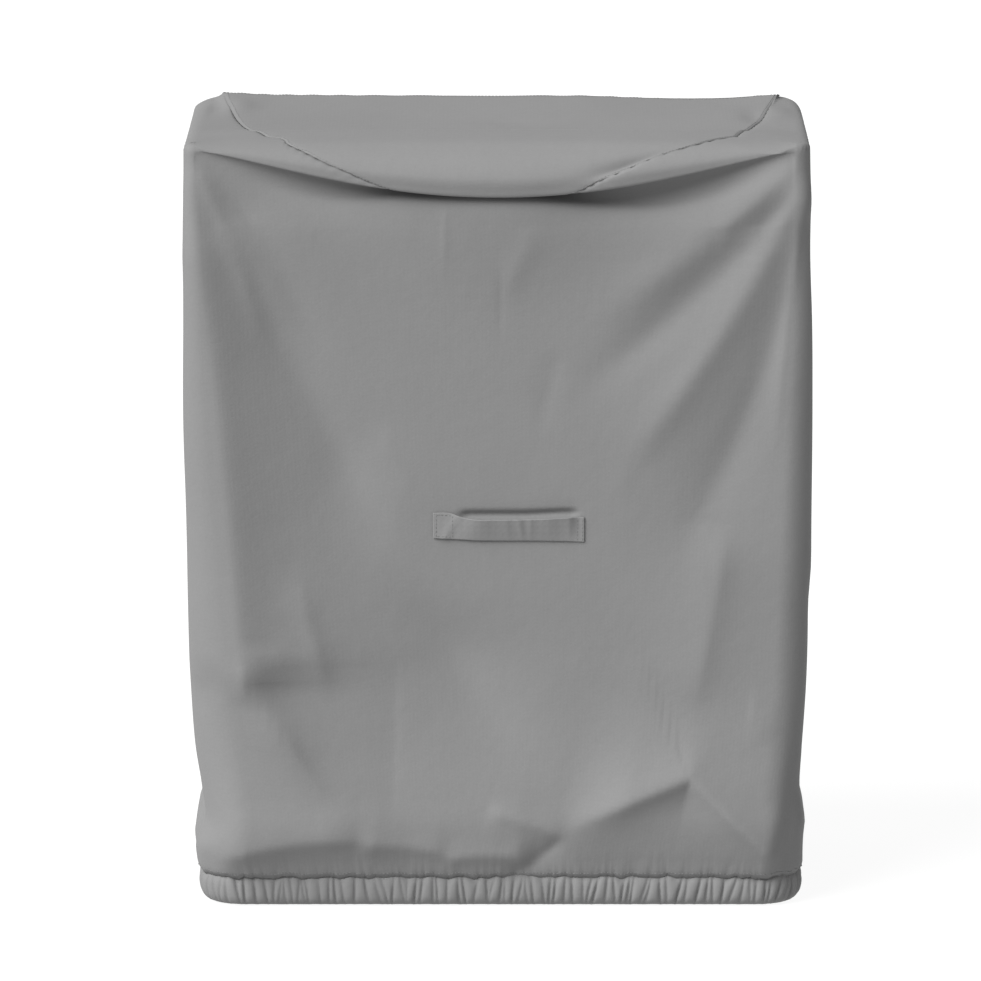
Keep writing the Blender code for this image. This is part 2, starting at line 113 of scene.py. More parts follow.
@dataclass(frozen=True)
class Fold:
    """A soft crease on a wall, along a curved or a bent line.

    The two reaches are those towards lower and higher levels of a line that runs downwards.
    A fold with a negative rise is a trough.
    """

    start: Point
    middle: Point
    end: Point
    reach: Point
    rise: float
    softness: float = 0.35
    fade: Point = (0.22, 0.22)
    bent: bool = False

    def height(self, level: Array, z: Array) -> Array:
        """Height of the fold over the wall.

        The line is a quadratic curve in straight pieces, or two straight runs with a corner
        between them where it is bent. The height falls off with the distance from the nearest
        piece as a rounded exponential, whose reach turns smoothly from one side's to the
        other's round the ends, and it fades along the chord.

        Args:
            level: place along the wall, in metres.
            z: height on the wall, in metres.

        Returns:
            Outward height of the fold at each place.
        """
        place = np.linspace(0.0, 1.0, FOLD_SEGMENTS + 1)
        rest = 1.0 - place
        if self.bent:
            line = [np.interp(place, (0.0, 0.5, 1.0), knots)
                    for knots in zip(self.start, self.middle, self.end)]
        else:
            line = [rest * rest * a + 2.0 * rest * place * b + place * place * c
                    for a, b, c in zip(self.start, self.middle, self.end)]
        run_x, run_z = np.diff(line[0]), np.diff(line[1])
        off_x = level[..., None] - line[0][:-1]
        off_z = z[..., None] - line[1][:-1]
        part = np.clip((off_x * run_x + off_z * run_z) / (run_x ** 2 + run_z ** 2), 0.0, 1.0)
        away = np.hypot(off_x - part * run_x, off_z - part * run_z)
        nearest = np.argmin(away, axis=-1)[..., None]
        distance = np.take_along_axis(away, nearest, -1)[..., 0]
        chord_x, chord_z = self.end[0] - self.start[0], self.end[1] - self.start[1]
        along = ((level - self.start[0]) * chord_x + (z - self.start[1]) * chord_z) / (
            chord_x ** 2 + chord_z ** 2)
        cross = run_x[nearest] * np.take_along_axis(off_z, nearest, -1)
        cross = (cross - run_z[nearest] * np.take_along_axis(off_x, nearest, -1))[..., 0]
        sine = cross / (np.hypot(run_x, run_z)[nearest[..., 0]] * np.maximum(distance, 1e-6))
        share = smooth_step(0.5 + 0.5 * sine)
        reach = self.reach[0] + (self.reach[1] - self.reach[0]) * share
        slope = np.sqrt((distance / reach) ** 2 + self.softness ** 2) - self.softness
        fade = smooth_step(along / self.fade[0]) * smooth_step((1.0 - along) / self.fade[1])
        return self.rise * np.exp(-1.6 * slope) * fade


# Folds of the front, from the top left corner round to the hem
FRONT_FOLDS = (
    Fold((-0.462, 1.13), (-0.395, 0.74), (-0.376, 0.33), (0.120, 0.150), 0.029, 0.10, (0.2, 0.04)),
    Fold((-0.450, 1.11), (-0.250, 0.70), (0.060, 0.17), (0.110, 0.110), -0.018, 0.15, (0.1, 0.25)),
    Fold((-0.445, 1.12), (-0.380, 0.98), (-0.330, 0.82), (0.022, 0.026), 0.005, 0.25, (0.1, 0.4)),
    Fold((-0.440, 1.13), (-0.340, 1.02), (-0.240, 0.80), (0.020, 0.030), -0.004, 0.35, (0.1, 0.4)),
    Fold((-0.390, 0.365), (-0.325, 0.27), (-0.240, 0.15), (0.090, 0.050), 0.021, 0.10, (0.1, 0.6)),
    Fold((-0.300, 0.50), (-0.272, 0.42), (-0.250, 0.32), (0.030, 0.022), 0.004, 0.30),
    Fold((0.450, 1.13), (0.310, 0.98), (0.120, 0.870), (0.050, 0.030), 0.008, 0.22, (0.1, 0.4)),
    Fold((0.450, 1.09), (0.300, 0.91), (0.080, 0.745), (0.030, 0.030), -0.008, 0.35, (0.1, 0.4)),
    Fold((0.455, 1.11), (0.350, 0.84), (0.130, 0.605), (0.045, 0.045), 0.011, 0.20, (0.1, 0.4)),
    Fold((0.455, 1.06), (0.400, 0.72), (0.225, 0.480), (0.045, 0.050), -0.010, 0.35, (0.1, 0.4)),
    Fold((0.458, 1.12), (0.425, 0.92), (0.405, 0.660), (0.022, 0.022), 0.005, 0.25, (0.1, 0.4)),
    Fold((0.340, 0.58), (0.318, 0.44), (0.285, 0.290), (0.080, 0.045), 0.008, 0.15),
    Fold((0.370, 0.300), (0.385, 0.275), (0.405, 0.262), (0.016, 0.016), 0.003, 0.20),
    Fold((0.425, 0.056), (0.284, 0.200), (0.085, 0.116), (0.110, 0.036), 0.023, 0.08, (0.1, 0.3),
         True),
    Fold((-0.120, 0.098), (-0.300, 0.122), (-0.430, 0.064), (0.120, 0.034), 0.019, 0.12,
         (0.45, 0.2)),
    Fold((-0.060, 0.076), (-0.130, 0.104), (-0.215, 0.090), (0.040, 0.022), 0.008, 0.12),
    Fold((0.060, 0.070), (-0.020, 0.088), (-0.090, 0.070), (0.040, 0.018), 0.009, 0.12),
    Fold((0.100, 0.112), (0.055, 0.066), (0.005, 0.040), (0.020, 0.018), -0.008, 0.15),
    Fold((-0.020, 0.150), (0.050, 0.132), (0.105, 0.104), (0.020, 0.020), 0.005, 0.15),
    Fold((-0.150, 0.37), (-0.152, 0.25), (-0.156, 0.13), (0.030, 0.012), -0.0012, 0.30),
    Fold((-0.075, 1.06), (-0.080, 1.02), (-0.078, 0.960), (0.008, 0.010), 0.0010, 0.30),
    Fold((0.005, 0.96), (0.004, 0.90), (0.003, 0.850), (0.007, 0.009), -0.0008, 0.30),
    Fold((0.075, 1.02), (0.030, 0.98), (0.012, 0.920), (0.022, 0.018), 0.0025, 0.30),
    Fold((0.090, 0.84), (0.080, 0.78), (0.060, 0.720), (0.030, 0.020), -0.002, 0.30),
    Fold((-0.160, 0.62), (-0.130, 0.61), (-0.095, 0.595), (0.020, 0.020), 0.003, 0.30),
    Fold((0.200, 0.66), (0.165, 0.625), (0.130, 0.596), (0.016, 0.020), 0.005, 0.20),
    Fold((-0.180, 0.72), (-0.130, 0.66), (-0.100, 0.600), (0.018, 0.022), 0.003, 0.25),
)

# Folds of both sides, whose level runs to the right as seen from outside
SIDE_FOLDS = (
    Fold((-0.235, 1.08), (-0.150, 0.80), (0.050, 0.480), (0.050, 0.060), -0.012),
    Fold((0.240, 1.09), (0.180, 0.72), (0.080, 0.340), (0.070, 0.050), -0.014),
    Fold((0.010, 0.92), (-0.020, 0.66), (-0.070, 0.400), (0.070, 0.070), 0.006),
    Fold((-0.190, 0.52), (-0.150, 0.36), (-0.170, 0.170), (0.060, 0.060), -0.009),
    Fold((0.190, 0.095), (-0.020, 0.12), (-0.200, 0.100), (0.020, 0.060), 0.006, 0.15),
)

# Folds of the back, whose level runs to the left as seen from outside
BACK_FOLDS = (
    Fold((-0.420, 1.09), (-0.330, 0.78), (-0.140, 0.400), (0.070, 0.090), 0.015),
    Fold((-0.400, 1.02), (-0.240, 0.82), (-0.010, 0.640), (0.050, 0.060), -0.010),
    Fold((0.425, 1.09), (0.340, 0.74), (0.210, 0.330), (0.080, 0.070), 0.016),
    Fold((0.390, 1.05), (0.220, 0.90), (0.020, 0.790), (0.050, 0.060), 0.010),
    Fold((0.030, 0.50), (-0.040, 0.33), (-0.020, 0.180), (0.080, 0.080), 0.009),
    Fold((0.060, 0.090), (-0.160, 0.13), (-0.400, 0.090), (0.020, 0.070), 0.011, 0.15),
    Fold((0.400, 0.085), (0.240, 0.14), (0.080, 0.100), (0.020, 0.070), 0.010, 0.15),
)


@dataclass(frozen=True)
class CoverForm:
    """The outer surface of the whole cover, which all its cloth follows."""

    top_height: float = 1.143
    back_rise: float = 0.006
    top_half_width: float = 0.461
    half_depth: float = 0.270
    back_seam_inset: float = 0.035
    roll_exponent: float = 1.4
    drift_step: float = 3.0
    round_step: float = 8.5
    shoulder_step: float = 10.0
    back_step: float = 11.0
    # Half sizes by height: z, left, right, front, back
    outline: Rows = (
        (0.000, 0.440, 0.449, 0.262, 0.272),
        (0.050, 0.445, 0.453, 0.262, 0.274),
        (0.088, 0.449, 0.454, 0.272, 0.281),
        (0.126, 0.436, 0.455, 0.278, 0.283),
        (0.171, 0.440, 0.449, 0.276, 0.281),
        (0.231, 0.449, 0.455, 0.271, 0.279),
        (0.306, 0.454, 0.460, 0.268, 0.278),
        (0.457, 0.459, 0.463, 0.268, 0.280),
        (0.607, 0.460, 0.464, 0.269, 0.282),
        (0.758, 0.463, 0.464, 0.270, 0.283),
        (0.908, 0.462, 0.465, 0.270, 0.282),
        (1.100, 0.461, 0.459, 0.270, 0.280),
        (1.150, 0.460, 0.458, 0.270, 0.280),
    )
    # Corner radii by height: z, front left, front right, back
    corners: Rows = (
        (0.00, 0.066, 0.066, 0.080),
        (0.10, 0.070, 0.060, 0.065),
        (0.25, 0.072, 0.055, 0.055),
        (0.50, 0.056, 0.048, 0.050),
        (0.70, 0.042, 0.040, 0.048),
        (0.90, 0.030, 0.030, 0.045),
        (1.15, 0.016, 0.022, 0.040),
    )
    # From the wall to the top by step: step, plain inset, plain z, roll inset, roll z
    edge: Rows = (
        (0, 0.000, 1.020, 0.000, 1.016),
        (1, 0.000, 1.086, 0.003, 1.046),
        (2, 0.000, 1.116, 0.015, 1.059),
        (3, 0.000, 1.129, 0.021, 1.069),
        (4, 0.000, 1.134, 0.004, 1.072),
        (5, 0.000, 1.1355, -0.020, 1.0655),
        (6, 0.001, 1.138, -0.026, 1.076),
        (7, 0.004, 1.140, -0.0265, 1.096),
        (8, 0.010, 1.142, -0.009, 1.121),
        (9, 0.022, 1.143, 0.024, 1.140),
        (10, 0.070, 1.144, 0.074, 1.150),
    )
    # Extra drop of the tuck's brow under the roll: x, drop
    tuck: Rows = (
        (-0.46, 0.000),
        (-0.36, 0.005),
        (-0.25, 0.010),
        (-0.12, -0.007),
        (0.05, -0.010),
        (0.16, 0.010),
        (0.26, 0.020),
        (0.36, 0.012),
        (0.46, 0.000),
    )
    # Slanting seams by step: step, left x, right x
    seams: Rows = (
        (4.7, -0.140, 0.095),
        (5.5, -0.170, 0.120),
        (6.4, -0.212, 0.150),
        (7.6, -0.268, 0.215),
        (8.8, -0.306, 0.290),
        (10.0, -0.340, 0.352),
        (10.3, -0.374, 0.378),
        (10.7, -0.402, 0.406),
        (11.0, -0.416, 0.428),
    )
    # Seam step that each station of the outline meets: station, step
    meeting: Rows = (
        (0.0, 10.0), (0.25, 4.7), (0.75, 4.7), (1.0, 10.0), (2.0, 10.25), (3.0, 10.75),
        (4.0, 11.0), (5.0, 11.0), (6.0, 10.75), (7.0, 10.25), (8.0, 10.0),
    )

    def outline_point(self, station: Array, z: Array) -> tuple[Array, Array, Array, Array]:
        """Point and outward direction on the rounded oblong outline at a height.

        Even stations start the front, right, back and left runs, which are straight lines
        between the ends of the corner arcs. Odd stations start the corners between them,
        which are quarter circles.

        Args:
            station: place round the outline, from 0 to 8.
            z: height.

        Returns:
            x, y and the two parts of the outward direction.
        """
        left, right, front, back = (table.at(z) for table in tables(self.outline))
        left_radius, right_radius, back_radius = (table.at(z) for table in tables(self.corners))
        arcs = (
            (right - right_radius, right_radius - front, right_radius),
            (right - back_radius, back - back_radius, back_radius),
            (back_radius - left, back - back_radius, back_radius),
            (left_radius - left, left_radius - front, left_radius),
        )
        run = np.floor(station).astype(int) % 8
        part = station - np.floor(station)
        x, y, out_x, out_y = (np.zeros_like(z) for _ in range(4))
        for side, (centre_x, centre_y, radius) in enumerate(arcs):
            before_x, before_y, before_radius = arcs[side - 1]
            face = math.radians(90.0) * (side - 1)
            turn = face + math.radians(90.0) * part
            corner = run == 2 * side + 1
            straight = run == 2 * side
            start_x = before_x + before_radius * math.cos(face)
            start_y = before_y + before_radius * math.sin(face)
            end_x = centre_x + radius * math.cos(face)
            end_y = centre_y + radius * math.sin(face)
            x = np.where(corner, centre_x + radius * np.cos(turn), x)
            y = np.where(corner, centre_y + radius * np.sin(turn), y)
            x = np.where(straight, start_x + (end_x - start_x) * part, x)
            y = np.where(straight, start_y + (end_y - start_y) * part, y)
            out_x = np.where(corner, np.cos(turn), np.where(straight, math.cos(face), out_x))
            out_y = np.where(corner, np.sin(turn), np.where(straight, math.sin(face), out_y))
        return x, y, out_x, out_y

    def fold_height(self, wall: Wall, level: Array, z: Array) -> Array:
        """Sum of a wall's folds at each place."""
        folds = {Wall.FRONT: FRONT_FOLDS, Wall.SIDE: SIDE_FOLDS, Wall.BACK: BACK_FOLDS}[wall]
        return sum(fold.height(level, z) for fold in folds)

    def calm(self, level: Array, z: Array) -> Array:
        """0 under the strap, where the cloth is level, and 1 away from it."""
        away = np.hypot(level - 0.0165, (z - 0.5735) * 1.6)
        return smooth_step((away - 0.145) / 0.170)

    def strap_pocket(self, x: Array, z: Array) -> Array:
        """Hollow in the cloth along the top of the strap, which is drawn in by the sewing.

        Args:
            x: place along the front.
            z: height.

        Returns:
            How far the cloth stands out there, which is less than 0 in the hollow.
        """
        along = smooth_step((x + 0.062) / 0.02) * smooth_step((0.126 - x) / 0.02)
        top = 0.588 + 0.003 * smooth_step((x - 0.03) / 0.08)
        return -0.0055 * along * bump(z - top - 0.004, 0.0055)

    def relief(self, x: Array, y: Array, out_x: Array, out_y: Array, z: Array) -> Array:
        """Outward height of the folds, each wall fading into the next round the corners.

        Args:
            x, y: place in plan.
            out_x, out_y: outward direction in plan.
            z: height.

        Returns:
            How far the cloth stands out from the outline.
        """
        front = self.fold_height(Wall.FRONT, x, z) * self.calm(x, z) + self.strap_pocket(x, z)
        front = front + 0.013 * bump(x - 0.01, 0.15) * bump(z - 1.06, 0.11)
        back = self.fold_height(Wall.BACK, x, z)
        side = self.fold_height(Wall.SIDE, y * np.sign(out_x), z)
        slack = 0.0010 * np.sin(9.0 * (x + y) + 7.0 * z) * np.sin(13.0 * z - 11.0 * (x - y))
        return (front * smooth_step(-out_y) + back * smooth_step(out_y)
                + side * smooth_step(np.abs(out_x)) + slack)

    def top_z(self, x: Array, y: Array) -> Array:
        """Height of the top: a ridge behind the roll, a slack middle and two peaks behind.

        Each is a bell or a parabola added to a height that rises to the back, and rises less
        near the right edge.

        Args:
            x, y: place in plan.

        Returns:
            Height of the cloth there.
        """
        across = 1.0 - np.clip(np.abs(x) / self.top_half_width, 0.0, 1.0) ** 2
        along = 1.0 - np.clip(np.abs(y) / self.half_depth, 0.0, 1.0) ** 2
        ridge = 0.012 * across * np.where(y < -0.150, bump(y + 0.150, 0.085),
                                          bump(y + 0.150, 0.038))
        slack = 0.011 * across * along
        rise = self.back_rise * (y + self.half_depth) / (2.0 * self.half_depth)
        rise = rise + 0.006 * smooth_step((y + 0.05) / 0.25) * smooth_step((0.30 - x) / 0.20)
        dents = (0.004 * bump(x + 0.385, 0.020) * bump(y - 0.12, 0.050)
                 - 0.006 * bump(x + 0.428, 0.020) * bump(y - 0.12, 0.060)
                 + 0.004 * bump(x - 0.425, 0.022) * bump(y - 0.08, 0.050)
                 - 0.005 * bump(x - 0.385, 0.018) * bump(y - 0.05, 0.070)
                 - 0.003 * bump(x - 0.02, 0.060) * bump(y - 0.03, 0.025))
        return self.top_height + rise + ridge - slack + dents + self.corner_lift(x, y)

    def corner_lift(self, x: Array, y: Array) -> Array:
        """Rise of the two back corners, where the cloth stands on the machine's corners."""
        return (0.003 * bump(x + 0.420, 0.050) * bump(y - 0.240, 0.075)
                + 0.005 * bump(x - 0.420, 0.050) * bump(y - 0.225, 0.075))

    def shoulder_inset(self, x: Array, y: Array) -> Array:
        """Extra inset of the side edges: more to the back on the left, a corner on the right.

        Args:
            x, y: place in plan.

        Returns:
            The inset, in metres.
        """
        left = 0.014 * np.clip((y + self.half_depth) / (2.0 * self.half_depth), 0.0, 1.0)
        return np.where(x < 0.0, left, 0.010 * bump(y - 0.270, 0.070))

    def roll(self, x: Array) -> Array:
        """How full the front roll is: 0 at the corners and 1 in the middle."""
        return np.clip(1.0 - (x / self.top_half_width) ** 2, 0.0, 1.0) ** self.roll_exponent

    def on_top(self, step: Array) -> Array:
        """How far the height at a step follows the top instead of the edge path."""
        return smooth_step((step - self.round_step) / (self.shoulder_step - self.round_step))

    def edge_path(self, step: Array, roll: Array, x: Array) -> tuple[Array, Array]:
        """Inset and height of the cloth at a step from the wall to the top.

        The plain path and that of the full roll are mixed by the roll's fullness, and the
        tuck under the roll is opened by the extra drop of its brow.

        Args:
            step: place on the path, from 0 on the wall to 10 behind the shoulder.
            roll: fullness of the roll.
            x: place along the front.

        Returns:
            Inset from the outline, and height.
        """
        plain_inset, plain_z, roll_inset, roll_z = (t.at(step) for t in tables(self.edge))
        drop = tables(self.tuck)[0].at(x)
        drop = drop * smooth_step(1.0 - np.abs(step - 1.6) / 1.8) * smooth_step(roll / 0.4)
        inset = plain_inset + roll * (roll_inset - plain_inset) + 0.5 * drop
        return inset, plain_z + roll * (roll_z - plain_z) - drop

    def top_point(self, x: Array, step: Array) -> Array:
        """Point of the roll or the top at a step, for cloth that starts at x on the front.

        Args:
            x: place along the front.
            step: place on the path; behind the shoulder it runs straight to the back seam.

        Returns:
            Points, with the last axis for x, y and z.
        """
        inset, z = self.edge_path(np.minimum(step, self.shoulder_step), self.roll(x), x)
        front_y = inset - self.half_depth
        back_y = self.half_depth - self.back_seam_inset
        y = front_y + (back_y - front_y) * np.clip(step - self.shoulder_step, 0.0, 1.0)
        z = z + (self.top_z(x, y) - z) * self.on_top(step)
        return np.stack([x, y, z], axis=-1)

    def seam_step(self, station: Array) -> Array:
        """Step of the seam that the cloth at a station of the outline meets."""
        stations, steps = zip(*self.meeting)
        return np.interp(station, stations, steps)

    def seam_point(self, station: Array) -> Array:
        """Point of the top panel's seam that the cloth at a station meets.

        Args:
            station: place round the outline.

        Returns:
            Points, with the last axis for x, y and z.
        """
        step = self.seam_step(station)
        left, right = (table.at(step) for table in tables(self.seams))
        front = left + (right - left) * np.clip(2.0 * station - 0.5, 0.0, 1.0)
        back = right + (left - right) * np.clip(station - 4.0, 0.0, 1.0)
        return self.top_point(np.where((station > 1.0) & (station < 8.0), back, front), step)


def smooth_normals(points: Array, closed: bool) -> Array:
    """Outward unit normals of a grid of points, from the cross product of its two slopes.

    Args:
        points: rows by columns by 3.
        closed: whether the last column joins the first.

    Returns:
        Normals, in the same layout as the points.
    """
    if closed:
        wrapped = np.concatenate([points[:, -1:], points, points[:, :1]], axis=1)
        across = np.gradient(wrapped, axis=1)[:, 1:-1]
    else:
        across = np.gradient(points, axis=1)
    normal = np.cross(across, np.gradient(points, axis=0))
    return normal / np.maximum(np.linalg.norm(normal, axis=-1, keepdims=True), 1e-9)


def travelled(points: Array, axis: int = 0) -> Array:
    """Distance along a run of points, starting at 0.

    Args:
        points: points, with the last axis for x, y and z.
        axis: axis along which the run goes.

    Returns:
        The sum of the straight lengths up to each point.
    """
    lengths = np.linalg.norm(np.diff(points, axis=axis), axis=-1)
    start = np.zeros_like(np.take(lengths, [0], axis=axis))
    return np.concatenate([start, np.cumsum(lengths, axis=axis)], axis=axis)


def grid_object(name: str, points: Array, uv: Array, closed: bool) -> bpy.types.Object:
    """Mesh object of quads over a grid of points, closed round in its columns or open.

    Args:
        name: name of the piece.
        points: rows by columns by 3.
        uv: rows by columns by 2, with one more column on a closed grid, in metres.
        closed: whether the last column joins the first.

    Returns:
        The object, shaded smooth.
    """
    rows, columns = points.shape[:2]
    index = np.arange(rows * columns).reshape(rows, columns)
    if closed:
        index = np.concatenate([index, index[:, :1]], axis=1)
    corners = ((slice(None, -1), slice(None, -1)), (slice(None, -1), slice(1, None)),
               (slice(1, None), slice(1, None)), (slice(1, None), slice(None, -1)))
    quads = np.stack([index[corner] for corner in corners], axis=-1).reshape(-1, 4)
    mesh = bpy.data.meshes.new(name)
    mesh.from_pydata(points.reshape(-1, 3), [], quads.tolist())
    layer = mesh.uv_layers.new(name="weave")
    layer.data.foreach_set("uv", np.stack([uv[corner] for corner in corners], axis=-2).ravel())
    mesh.shade_smooth()
    piece = bpy.data.objects.new(name, mesh)
    bpy.context.scene.collection.objects.link(piece)
    return piece


def thicken(piece: bpy.types.Object, thickness: float) -> None:
    """Give a sheet its thickness, inwards from the modelled face.

    Args:
        piece: the sheet.
        thickness: thickness in metres.
    """
    solidify = piece.modifiers.new("thickness", "SOLIDIFY")
    solidify.thickness = thickness
    solidify.offset = -1.0


class NodeSheet:
    """Small helper that lays out a material's nodes."""

    def __init__(self, name: str) -> None:
        """Start an empty material with a shader and an output."""
        self.material = bpy.data.materials.new(name)
        self.material.use_nodes = True
        self.nodes = self.material.node_tree.nodes
        self.links = self.material.node_tree.links
        self.shader = self.nodes["Principled BSDF"]

    def add(self, kind: str, values: dict[str, object] | None = None,
            **settings: object) -> bpy.types.Node:
        """Add a node, and set its properties and its input values.

        Args:
            kind: type of the node.
            values: value of each named input.
            **settings: properties of the node.

        Returns:
            The node.
        """
        node = self.nodes.new(kind)
        for key, value in settings.items():
            setattr(node, key, value)
        for key, value in (values or {}).items():
            node.inputs[key].default_value = value
        return node

    def noise(self, vector: bpy.types.NodeSocket, scale: float,
              detail: float) -> bpy.types.NodeSocket:
        """Add a noise texture on a vector.

        Args:
            vector: where the noise is read.
            scale: how fine it is.
            detail: octaves of finer noise.

        Returns:
            The noise's factor.
        """
        node = self.add("ShaderNodeTexNoise",
                        {"Scale": scale, "Detail": detail, "Roughness": 0.55})
        self.links.new(vector, node.inputs["Vector"])
        return node.outputs["Fac"]

    def math(self, operation: str, first: bpy.types.NodeSocket | float,
             second: bpy.types.NodeSocket | float) -> bpy.types.NodeSocket:
        """Add a sum, product or other operation on two sockets or numbers.

        Args:
            operation: what is worked out.
            first: first value.
            second: second value.

        Returns:
            The result.
        """
        node = self.add("ShaderNodeMath", operation=operation)
        for place, value in enumerate((first, second)):
            if isinstance(value, (int, float)):
                node.inputs[place].default_value = value
            else:
                self.links.new(value, node.inputs[place])
        return node.outputs[0]

    def spread(self, factor: bpy.types.NodeSocket, low: float,
               high: float) -> bpy.types.NodeSocket:
        """Stretch a factor from 0..1 to low..high.

        Args:
            factor: the factor.
            low: result at 0.
            high: result at 1.

        Returns:
            The stretched factor.
        """
        node = self.add("ShaderNodeMapRange", {"To Min": low, "To Max": high})
        self.links.new(factor, node.inputs["Value"])
        return node.outputs["Result"]


@dataclass(frozen=True)
class ClothFinish:
    """Coated polyester cloth: crossed fine bands, soft crumple and faint mottling."""

    name: str
    colour: tuple[float, float, float]
    roughness: float = 0.78
    sheen: float = 0.03
    gloss: float = 0.22
    band_pitch: float = 0.00565487
    weave_depth: float = 0.00006
    crumple_depth: float = 0.0016
    mottle: float = 0.05

    def material(self) -> bpy.types.Material:
        """Build the cloth's material.

        The weave is shown by two sine waves that cross at right angles on the piece's own map,
        in bands that are coarser than real threads. The crumple is two noises on Object coordinates, and the colour drifts by a few
        hundredths with a wide and a fine noise.

        Returns:
            The material.
        """
        sheet = NodeSheet(self.name)
        place = sheet.add("ShaderNodeTexCoord").outputs["Object"]
        own_map = sheet.add("ShaderNodeUVMap", uv_map="weave").outputs["UV"]
        wide = sheet.noise(place, 5.0, 2.0)
        fine = sheet.noise(place, 260.0, 2.0)
        tone = sheet.math("ADD", sheet.spread(wide, -self.mottle, self.mottle),
                          sheet.spread(fine, 1.0 - self.mottle, 1.0 + self.mottle))
        colour = sheet.add("ShaderNodeMix", {"Factor": 1.0}, data_type="RGBA",
                           blend_type="MULTIPLY")
        for socket in colour.inputs:
            if socket.type == "RGBA" and socket.name == "A":
                socket.default_value = (*self.colour, 1.0)
            if socket.type == "RGBA" and socket.name == "B":
                sheet.links.new(tone, socket)
        result = next(socket for socket in colour.outputs if socket.type == "RGBA")
        sheet.links.new(result, sheet.shader.inputs["Base Color"])
        rough = sheet.spread(wide, self.roughness - 0.05, self.roughness + 0.05)
        sheet.links.new(rough, sheet.shader.inputs["Roughness"])
        sheet.shader.inputs["Sheen Weight"].default_value = self.sheen
        sheet.shader.inputs["Sheen Roughness"].default_value = 0.5
        sheet.shader.inputs["Specular IOR Level"].default_value = self.gloss
        self.add_relief(sheet, place, own_map)
        return sheet.material

    def add_relief(self, sheet: NodeSheet, place: bpy.types.NodeSocket,
                   own_map: bpy.types.NodeSocket) -> None:
        """Chain the crumple's bump and the weave's bump into the shader's normal.

        Args:
            sheet: the material's nodes.
            place: Object coordinates.
            own_map: the piece's own map, in metres.
        """
        crumple = sheet.math("ADD", sheet.spread(sheet.noise(place, 14.0, 3.0), 0.0, 0.8),
                             sheet.spread(sheet.noise(place, 55.0, 2.0), 0.0, 0.2))
        threads = []
        for axis in ("X", "Y"):
            wave = sheet.add("ShaderNodeTexWave", {"Scale": 2.0 * math.pi / (WAVE_RATE * self.band_pitch)},
                             wave_type="BANDS", bands_direction=axis)
            sheet.links.new(own_map, wave.inputs["Vector"])
            threads.append(wave.outputs["Fac"])
        weave = sheet.math("MAXIMUM", *threads)
        normal = None
        for height, depth in ((crumple, self.crumple_depth), (weave, self.weave_depth)):
            relief = sheet.add("ShaderNodeBump", {"Strength": 1.0, "Distance": depth})
            sheet.links.new(height, relief.inputs["Height"])
            if normal is not None:
                sheet.links.new(normal, relief.inputs["Normal"])
            normal = relief.outputs["Normal"]
        sheet.links.new(normal, sheet.shader.inputs["Normal"])


@dataclass(frozen=True)
class ThreadFinish:
    """Sewing thread, a shade off the cloth's grey."""

    name: str = "sewing_thread"
    colour: tuple[float, float, float] = (0.128, 0.128, 0.128)
    twist_scale: float = 900.0

    def material(self) -> bpy.types.Material:
        """Build the thread's material, with a twist by a fine noise."""
        sheet = NodeSheet(self.name)
        place = sheet.add("ShaderNodeTexCoord").outputs["Object"]
        twist = sheet.noise(place, self.twist_scale, 2.0)
        ramp = sheet.add("ShaderNodeValToRGB")
        ramp.color_ramp.elements[0].color = (*(0.7 * part for part in self.colour), 1.0)
        ramp.color_ramp.elements[1].color = (*(1.3 * part for part in self.colour), 1.0)
        sheet.links.new(twist, ramp.inputs["Fac"])
        sheet.links.new(ramp.outputs["Color"], sheet.shader.inputs["Base Color"])
        sheet.shader.inputs["Roughness"].default_value = 0.7
        return sheet.material


@dataclass(frozen=True)
class FloorFinish:
    """Plain pale studio floor of back-lit white board, which shows only faint shadows."""

    name: str = "pale_floor"
    colour: tuple[float, float, float] = (0.10, 0.10, 0.10)
    glow: float = 0.92

    def material(self) -> bpy.types.Material:
        """Build the floor's matt material."""
        sheet = NodeSheet(self.name)
        sheet.shader.inputs["Base Color"].default_value = (*self.colour, 1.0)
        sheet.shader.inputs["Roughness"].default_value = 0.9
        sheet.shader.inputs["Specular IOR Level"].default_value = 0.0
        sheet.shader.inputs["Emission Color"].default_value = (1.0, 1.0, 1.0, 1.0)
        sheet.shader.inputs["Emission Strength"].default_value = self.glow
        return sheet.material


